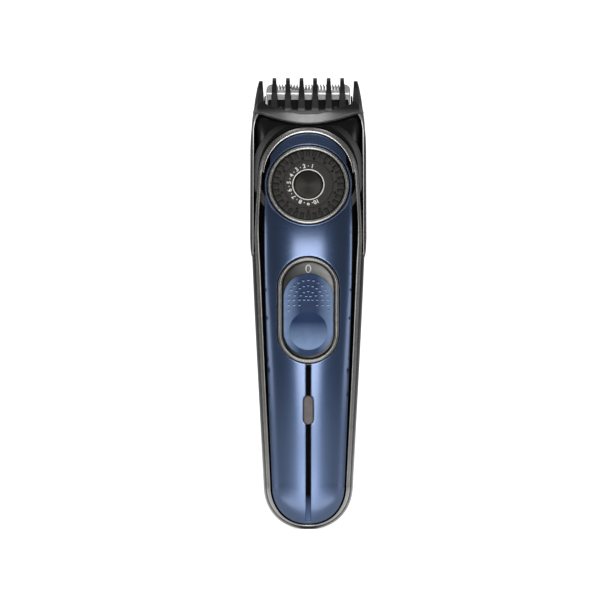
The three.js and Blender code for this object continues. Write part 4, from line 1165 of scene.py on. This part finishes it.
def blue_paint(name):
    """Metallic blue lacquer: fine flakes under a satin clear coat, with faint orange peel."""
    finish = Finish(name, metallic=0.9)
    finish.fixed("Coat Weight", 1.0)
    finish.fixed("Coat IOR", 1.57)
    finish.fixed("Coat Roughness", 0.2)
    flakes = finish.node("ShaderNodeTexVoronoi", {"Vector": finish.mapped(), "Scale": 1 / (0.09 * MM)})
    tint = finish.blend(finish.ranged(finish.noise(12, 3), 0, 1), BLUE_DARK, BLUE_LIGHT)
    spark = finish.ranged(flakes.outputs["Distance"], 0.35, 0, 0, 0.5)
    finish.colour(finish.blend(spark, tint, BLUE_FLAKE))
    finish.rough(finish.ranged(flakes.outputs["Distance"], 0.22, 0.28, 0, 0.8))
    peel = finish.bump(finish.noise(1.4, 2), 0.003, 0.3)
    finish.bump(flakes.outputs["Distance"], 0.001, 0.4, peel)
    return finish.material


def painted_light_on_button(finish):
    """Painted light and shade: lighter towards the button's sides and the foot of its dish, darkest at the
    dish's top.
    """
    dish_z = SWITCH_Z + BUTTON_Z - BUTTON_H + BUTTON_W
    side = finish.ranged(finish.maths("ABSOLUTE", finish.axis("X")), 0.04, 0.75, 3.2 * MM, 9.2 * MM)
    dish = finish.ranged(finish.axis("Z"), 1, 0, (dish_z - 6) * MM, (dish_z + 3.5) * MM)
    return finish.mixed(finish.within(0, dish_z, DISH_R - 0.15, 0.15), side, dish)


def painted_sheen_in_well(finish):
    """Painted sheen, as brushed metal shows under light: darkest at the left of the recess, brightest at its
    right.
    """
    return finish.ranged(finish.axis("X"), 0, 1, -7 * MM, 9 * MM)


def graded(name, shade, dark, light, roughness, specular, grain=0.4):
    """Satin lacquer whose colour runs from dark to light by painted light and shade, clouded and finely
    grained.
    """
    finish = Finish(name, specular=specular)
    cloud = finish.ranged(finish.noise(3, 3), 0.9, 1.1)
    finish.colour(finish.blend(finish.maths("MULTIPLY", shade(finish), cloud), dark, light))
    finish.rough(finish.ranged(finish.noise(1.2, 3), *roughness))
    finish.bump(finish.noise(grain, 2), 0.004, 0.5)
    return finish.material


def comb_with_painted_highlight(name):
    """Black comb plastic, more polished on the band than below it and on the teeth above it; the band's
    lighter grey is a painted highlight.
    """
    finish = Finish(name)
    height = finish.axis("Z")
    low = finish.ranged(height, 1, 0, 149 * MM, 152 * MM)
    high = finish.ranged(height, 0, 1, 157.6 * MM, 160 * MM)
    away = finish.maths("MAXIMUM", low, high)
    # painted highlight: the band's lighter grey stands in for the light falling on it
    band = finish.blend(finish.noise(6, 3), (0.035, 0.035, 0.036), (0.05, 0.05, 0.051))
    teeth = finish.blend(finish.noise(6, 3), (0.005, 0.005, 0.005), (0.009, 0.009, 0.009))
    finish.colour(finish.blend(away, band, teeth))
    finish.driven("Specular IOR Level", finish.ranged(away, 0.95, 0.22, 0, 1))
    finish.rough(finish.ranged(finish.noise(2.5, 4), 0.3, 0.38))
    finish.bump(finish.noise(0.3, 2), 0.006, 0.5)
    return finish.material


def housing_black(name):
    """Piano-black housing, with a satin grey band round the head's ring; the band's fade to black under the
    comb is painted shade.
    """
    finish = Finish(name, specular=0.25)
    inner = finish.within(0, COLLAR_Z, RING_ARC_R, 0.1)
    band = finish.maths("SUBTRACT", finish.within(0, COLLAR_Z, COLLAR_R + 0.2, 0.1), inner)
    low = finish.ranged(finish.axis("Z"), 0, 1, 112 * MM, 122 * MM)
    # painted shade: the band darkens to black towards the top, under the comb
    high = finish.ranged(finish.axis("Z"), 1, 0, 138 * MM, 154 * MM)
    share = finish.maths("MULTIPLY", band, finish.maths("MULTIPLY", low, high))
    gloss = finish.blend(finish.noise(9, 4), GLOSS_DARK, GLOSS_LIGHT)
    satin = finish.blend(finish.noise(4, 4), (0.06, 0.06, 0.061), (0.09, 0.09, 0.092))
    finish.colour(finish.blend(share, gloss, satin))
    rougher = finish.maths("MULTIPLY", share, 0.3)
    finish.rough(finish.maths("ADD", rougher, finish.ranged(finish.noise(2.5, 4), 0.14, 0.2)))
    finish.bump(finish.noise(0.6, 2), 0.003, 0.5)
    return finish.material


def spun(name):
    """Spun metal disc: concentric turning marks about the dial's axis, over a dark metal."""
    finish = Finish(name, metallic=1.0)
    finish.turned(0.75)
    centre = in_head(0, DIAL_FRONT, DIAL_S) * MM
    inputs = {
        "Vector": finish.around(tuple(centre), -LEAN), "Scale": 1400, "Distortion": 0.4, "Detail": 2,
        "Detail Scale": 3,
    }
    rings = finish.node("ShaderNodeTexWave", inputs, wave_type="RINGS", rings_direction="Y")
    marks = rings.outputs["Fac"]
    finish.colour(finish.blend(finish.ranged(marks, 0, 1, 0, 1), SPUN_DARK, SPUN_LIGHT))
    finish.rough(finish.ranged(marks, 0.3, 0.42, 0, 1))
    finish.bump(marks, 0.01, 0.6)
    return finish.material


def strip_fade(name):
    """Deep black inlay that fades into the plate's blue towards its lower end."""
    finish = Finish(name, specular=0.0)
    share = finish.ranged(finish.axis("Z"), 0, 1, FADE[0] * MM, FADE[1] * MM)
    blue = finish.blend(finish.noise(12, 3), FADE_BLUE, FADE_BLUE_LIGHT)
    black = finish.blend(finish.noise(5, 3), (0.0012, 0.0012, 0.0013), (0.0022, 0.0022, 0.0024))
    finish.colour(finish.blend(share, blue, black))
    finish.rough(finish.ranged(finish.noise(1.2, 3), 0.35, 0.45))
    finish.bump(finish.noise(0.6, 2), 0.003, 0.4)
    return finish.material


def smoked(name):
    """Smoked light window: dark clear plastic with faint clouding."""
    finish = Finish(name, specular=0.12)
    finish.colour(finish.blend(finish.noise(3, 4), (0.045, 0.039, 0.036), (0.08, 0.071, 0.067)))
    finish.rough(finish.ranged(finish.noise(0.5, 3), 0.22, 0.34))
    finish.bump(finish.noise(1.5, 2), 0.008, 0.4)
    return finish.material


def printed(name):
    """Light printing ink, slightly worn."""
    finish = Finish(name)
    wear = finish.ranged(finish.noise(0.3, 4), 0, 1)
    finish.colour(finish.blend(wear, (0.42, 0.41, 0.38), (0.66, 0.65, 0.62)))
    finish.rough(finish.ranged(finish.noise(0.2, 2), 0.45, 0.65))
    finish.bump(finish.noise(0.1, 2), 0.003, 0.4)
    return finish.material


def backdrop_finish(name):
    """Pale seamless paper, lit a little from within so that it stays even, and darker far to the sides, which
    is painted shade in its colour and glow.
    """
    finish = Finish(name, specular=0.1)
    spread = finish.maths("MULTIPLY", finish.axis("Y"), 0.03)
    across = finish.maths("SUBTRACT", finish.maths("ABSOLUTE", finish.axis("X")), spread)
    away = finish.ranged(across, 0, 1, 0.14, 0.5)
    pale = finish.blend(finish.noise(60, 3), (0.86, 0.86, 0.86), (0.9, 0.9, 0.9))
    # painted shade: the paper turns grey far to the sides
    finish.colour(finish.blend(away, pale, (0.5, 0.5, 0.5)))
    finish.rough(finish.ranged(finish.noise(3, 3), 0.85, 0.95))
    # painted light: the paper glows, less far to the sides
    finish.fixed("Emission Color", (1, 1, 1, 1))
    finish.driven("Emission Strength", finish.ranged(away, PAPER_GLOW, 0.2, 0, 1))
    return finish.material


def slot_finishes():
    """One material for each slot of the record."""
    return {
        "gloss_black": moulded(
            "gloss_black", GLOSS_DARK, GLOSS_LIGHT, (0.14, 0.2), grain=0.6, depth=0.003, specular=0.25),
        "satin_black": moulded(
            "satin_black", (0.014, 0.014, 0.0145), (0.024, 0.024, 0.025), (0.34, 0.42),
            grain=0.3, depth=0.006, specular=0.6),
        "blue_metallic": blue_paint("blue_metallic"),
        "chrome_trim": plated("chrome_trim", (0.22, 0.217, 0.21), (0.31, 0.306, 0.3), (0.2, 0.28)),
        "spun_metal": spun("spun_metal"),
        "blade_steel": brushed(
            "blade_steel", (0.17, 0.17, 0.17), (0.28, 0.28, 0.275), (0.26, 0.36), (1, 1, 0.05), depth=0.002),
        "bright_steel": brushed(
            "bright_steel", (0.42, 0.42, 0.42), (0.6, 0.6, 0.59), (0.2, 0.32), (0.2, 1, 1)),
        "dial_grey": moulded(
            "dial_grey", (0.011, 0.0102, 0.009), (0.02, 0.0188, 0.0165), (0.4, 0.5),
            grain=0.25, depth=0.006, specular=0.22),
        "lens_smoke": smoked("lens_smoke"),
        "white_plastic": moulded("white_plastic", (0.6, 0.59, 0.55), (0.72, 0.71, 0.67), (0.4, 0.52)),
        "board_green": moulded(
            "board_green", (0.012, 0.085, 0.035), (0.02, 0.13, 0.055), (0.25, 0.4), grain=0.8, depth=0.02),
        "cell_wrap": moulded("cell_wrap", (0.14, 0.2, 0.27), (0.2, 0.27, 0.36), (0.2, 0.3), grain=1.2),
    }


def piece_finishes():
    """Materials of single pieces that look different from the rest of their slot."""
    return {
        "print": printed("scale_print"),
        "housing": housing_black("housing_black"),
        "rear": moulded(
            "rear_black", (0.002, 0.002, 0.0021), (0.004, 0.004, 0.0042), (0.3, 0.38),
            grain=0.5, depth=0.004, specular=0.2),
        # comb: black plastic with a painted highlight on its front band
        "comb": comb_with_painted_highlight("comb_with_painted_highlight"),
        # button: painted highlight on its sides and the foot of its dish, painted shade at the dish's top
        "button": graded(
            "button_lacquer_painted_light", painted_light_on_button, (0.002, 0.012, 0.045), (0.13, 0.19, 0.31), (0.42, 0.5), 0.12),
        # well: painted sheen, dark at the left of the recess and bright at its right
        "well": graded("recess_painted_sheen", painted_sheen_in_well, (0.006, 0.006, 0.005), (0.24, 0.24, 0.225), (0.4, 0.5), 0.2),
        "dial_rim": plated("dial_chrome", (0.14, 0.139, 0.136), (0.2, 0.198, 0.195), (0.22, 0.3)),
        "bezel": plated("bezel_chrome", (0.09, 0.089, 0.086), (0.13, 0.129, 0.126), (0.24, 0.32)),
        # rim: light blue, a painted highlight on the lower edges of the grip's dents
        "rim": moulded(
            "painted_highlight_on_grip", (0.16, 0.22, 0.34), (0.24, 0.31, 0.44), (0.4, 0.5), grain=0.3, depth=0.003),
        "strip": strip_fade("strip_black"),
    }


# ---------------------------------------------------------------- putting it together
# Pieces of one slot that look different get a finish of their own.
def dress(piece, body, slot, *nodes, finish=None):
    """Gives a piece its material, its own finish or else its slot's, and its body, and hides the CAD nodes it
    stands for.
    """
    piece.data.materials.clear()
    piece.data.materials.append(MATERIALS[finish or slot])
    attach(piece, body)
    if nodes:
        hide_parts(*nodes)


def build_body():
    dress(rear_housing(), "root", "gloss_black", "rear_housing", finish="rear")
    dress(front_housing(), "root", "gloss_black", "front_housing", finish="housing")
    dress(trim_ring(), "root", "chrome_trim", "trim_ring")
    sheet, surround = front_plate()
    dress(sheet, "root", "blue_metallic", "front_plate")
    dress(surround, "root", "blue_metallic")
    room = LENS_H + FINE_GAP
    for name, low, high in [("lower", STRIP_BOTTOM, LENS_Z - room), ("upper", LENS_Z + room, STRIP_TOP)]:
        strip = centre_strip(f"strip_{name}", low, high)
        dress(strip, "root", "gloss_black", f"centre_strip_{name}", finish="strip")
    dress(indicator_lens(), "root", "lens_smoke", "indicator_lens")
    dress(charging_socket(), "root", "satin_black", "charging_socket")
    for i, (x, z) in enumerate(screw_places()):
        dress(housing_screw(x, z), "root", "bright_steel", f"housing_screw_{i + 1}")


def build_switch():
    dress(switch_bezel(), "root", "chrome_trim", "switch_bezel", finish="bezel")
    wall, floor = switch_well()
    dress(wall, "root", "satin_black", "switch_well")
    dress(floor, "root", "satin_black", finish="well")
    dress(zero_mark(), "root", "satin_black", finish="print")
    dress(switch_button(), "switch", "blue_metallic", "switch_button", finish="button")
    dress(grip_highlight_rims(), "switch", "blue_metallic", finish="rim")


def build_dial():
    dress(dial_bezel(), "root", "chrome_trim", "dial_bezel", finish="dial_rim")
    dress(dial_wheel(), "dial", "dial_grey", "length_dial")
    dress(dial_cap(), "dial", "spun_metal", "dial_cap")
    dress(dial_circle(), "dial", "chrome_trim", finish="print")
    dress(dial_marks(), "dial", "dial_grey", finish="print")
    dress(dial_dents(), "dial", "gloss_black")


def build_head():
    dress(comb_guard(), "comb", "satin_black", "comb_guard", finish="comb")
    dress(neck_frame(), "root", "gloss_black", "neck_frame")
    dress(fixed_blade(), "root", "blade_steel", "fixed_blade")
    dress(moving_blade(), "cutter", "blade_steel", "moving_blade")
    dress(blade_cover(), "root", "satin_black", "blade_cover", finish="gloss_black")
    dress(blade_holder(), "root", "satin_black", "blade_holder", finish="gloss_black")
    for side, name in [(-1, "blade_screw_left"), (1, "blade_screw_right")]:
        dress(blade_screw(side), "root", "satin_black", name)


def finish_cad_nodes():
    """Gives every CAD node the material of its slot, the hidden inner ones too."""
    for part in frame["record"]["subparts"]:
        node = frame["nodes"][part["node"]]
        node.data.materials.clear()
        node.data.materials.append(MATERIALS[part["material_slot"]])


# ---------------------------------------------------------------- stage, lights and camera
def build_stage():
    """Pale paper that runs from under the object up behind it. Sizes are in metres."""
    wide, front, back, radius, high = 2.2, -1.2, 3.9, 0.5, 2.6
    turn = np.linspace(-math.pi / 2, 0, 24)
    curve = zip(back + radius * np.cos(turn), radius + radius * np.sin(turn))
    profile = [(front, 0), *curve, (back + radius, high)]
    mesh = bpy.data.meshes.new("paper")
    points = [(x, y, z) for y, z in profile for x in (-wide, wide)]
    mesh.from_pydata(points, [], grid_faces(len(profile), 2))
    paper = bpy.data.objects.new("paper", mesh)
    bpy.context.scene.collection.objects.link(paper)
    mesh.polygons.foreach_set("use_smooth", [True] * len(mesh.polygons))
    mesh.materials.append(backdrop_finish("paper"))


def soft_light(name, spot, aim, size, power):
    """Rectangular softbox at spot that faces aim, in metres and watts. The camera doesn't see it."""
    light = bpy.data.lights.new(name, "AREA")
    light.shape = "RECTANGLE"
    light.size, light.size_y = size
    light.energy = power
    lamp = bpy.data.objects.new(name, light)
    lamp.location = spot
    lamp.rotation_euler = (Vector(aim) - Vector(spot)).to_track_quat("-Z", "Y").to_euler()
    bpy.context.scene.collection.objects.link(lamp)
    lamp.visible_camera = False


def build_lights():
    """Softboxes in front, above, beside and behind, a card under the foot, and an even grey surround."""
    middle = (0, 0, 0.09)
    soft_light("front_box", (0, -1.5, 0.4), middle, (0.36, 0.9), 10)
    soft_light("high_box", (0, -0.6, 1.3), middle, (0.7, 0.5), 2.4)
    soft_light("bounce_card", (0, -0.18, 0.004), (0, -0.18, 1), (0.09, 0.28), 0.24)
    for side in (-1, 1):
        soft_light("side_box", (1.35 * side, -0.55, 0.3), middle, (0.45, 1.0), 4.8)
        soft_light("rear_box", (1.0 * side, 1.0, 0.6), middle, (0.6, 0.8), 1.0)
    world = bpy.data.worlds.new("studio")
    world.use_nodes = True
    background = world.node_tree.nodes["Background"]
    background.inputs["Color"].default_value = (1, 1, 1, 1)
    background.inputs["Strength"].default_value = 0.27
    bpy.context.scene.world = world
    bpy.context.scene.view_settings.view_transform = "Standard"


def build_camera():
    """Long lens straight in front, level with the middle of the handle."""
    camera = bpy.data.cameras.new("camera")
    camera.lens, camera.sensor_width = 600, 36
    camera.clip_start, camera.clip_end = 0.05, 20
    eye = bpy.data.objects.new("camera", camera)
    eye.location = CAMERA
    eye.rotation_euler = (math.pi / 2, 0, 0)
    bpy.context.scene.collection.objects.link(eye)
    bpy.context.scene.camera = eye


MATERIALS = slot_finishes() | piece_finishes()
finish_cad_nodes()
build_body()
build_switch()
build_dial()
build_head()
build_stage()
build_lights()
build_camera()
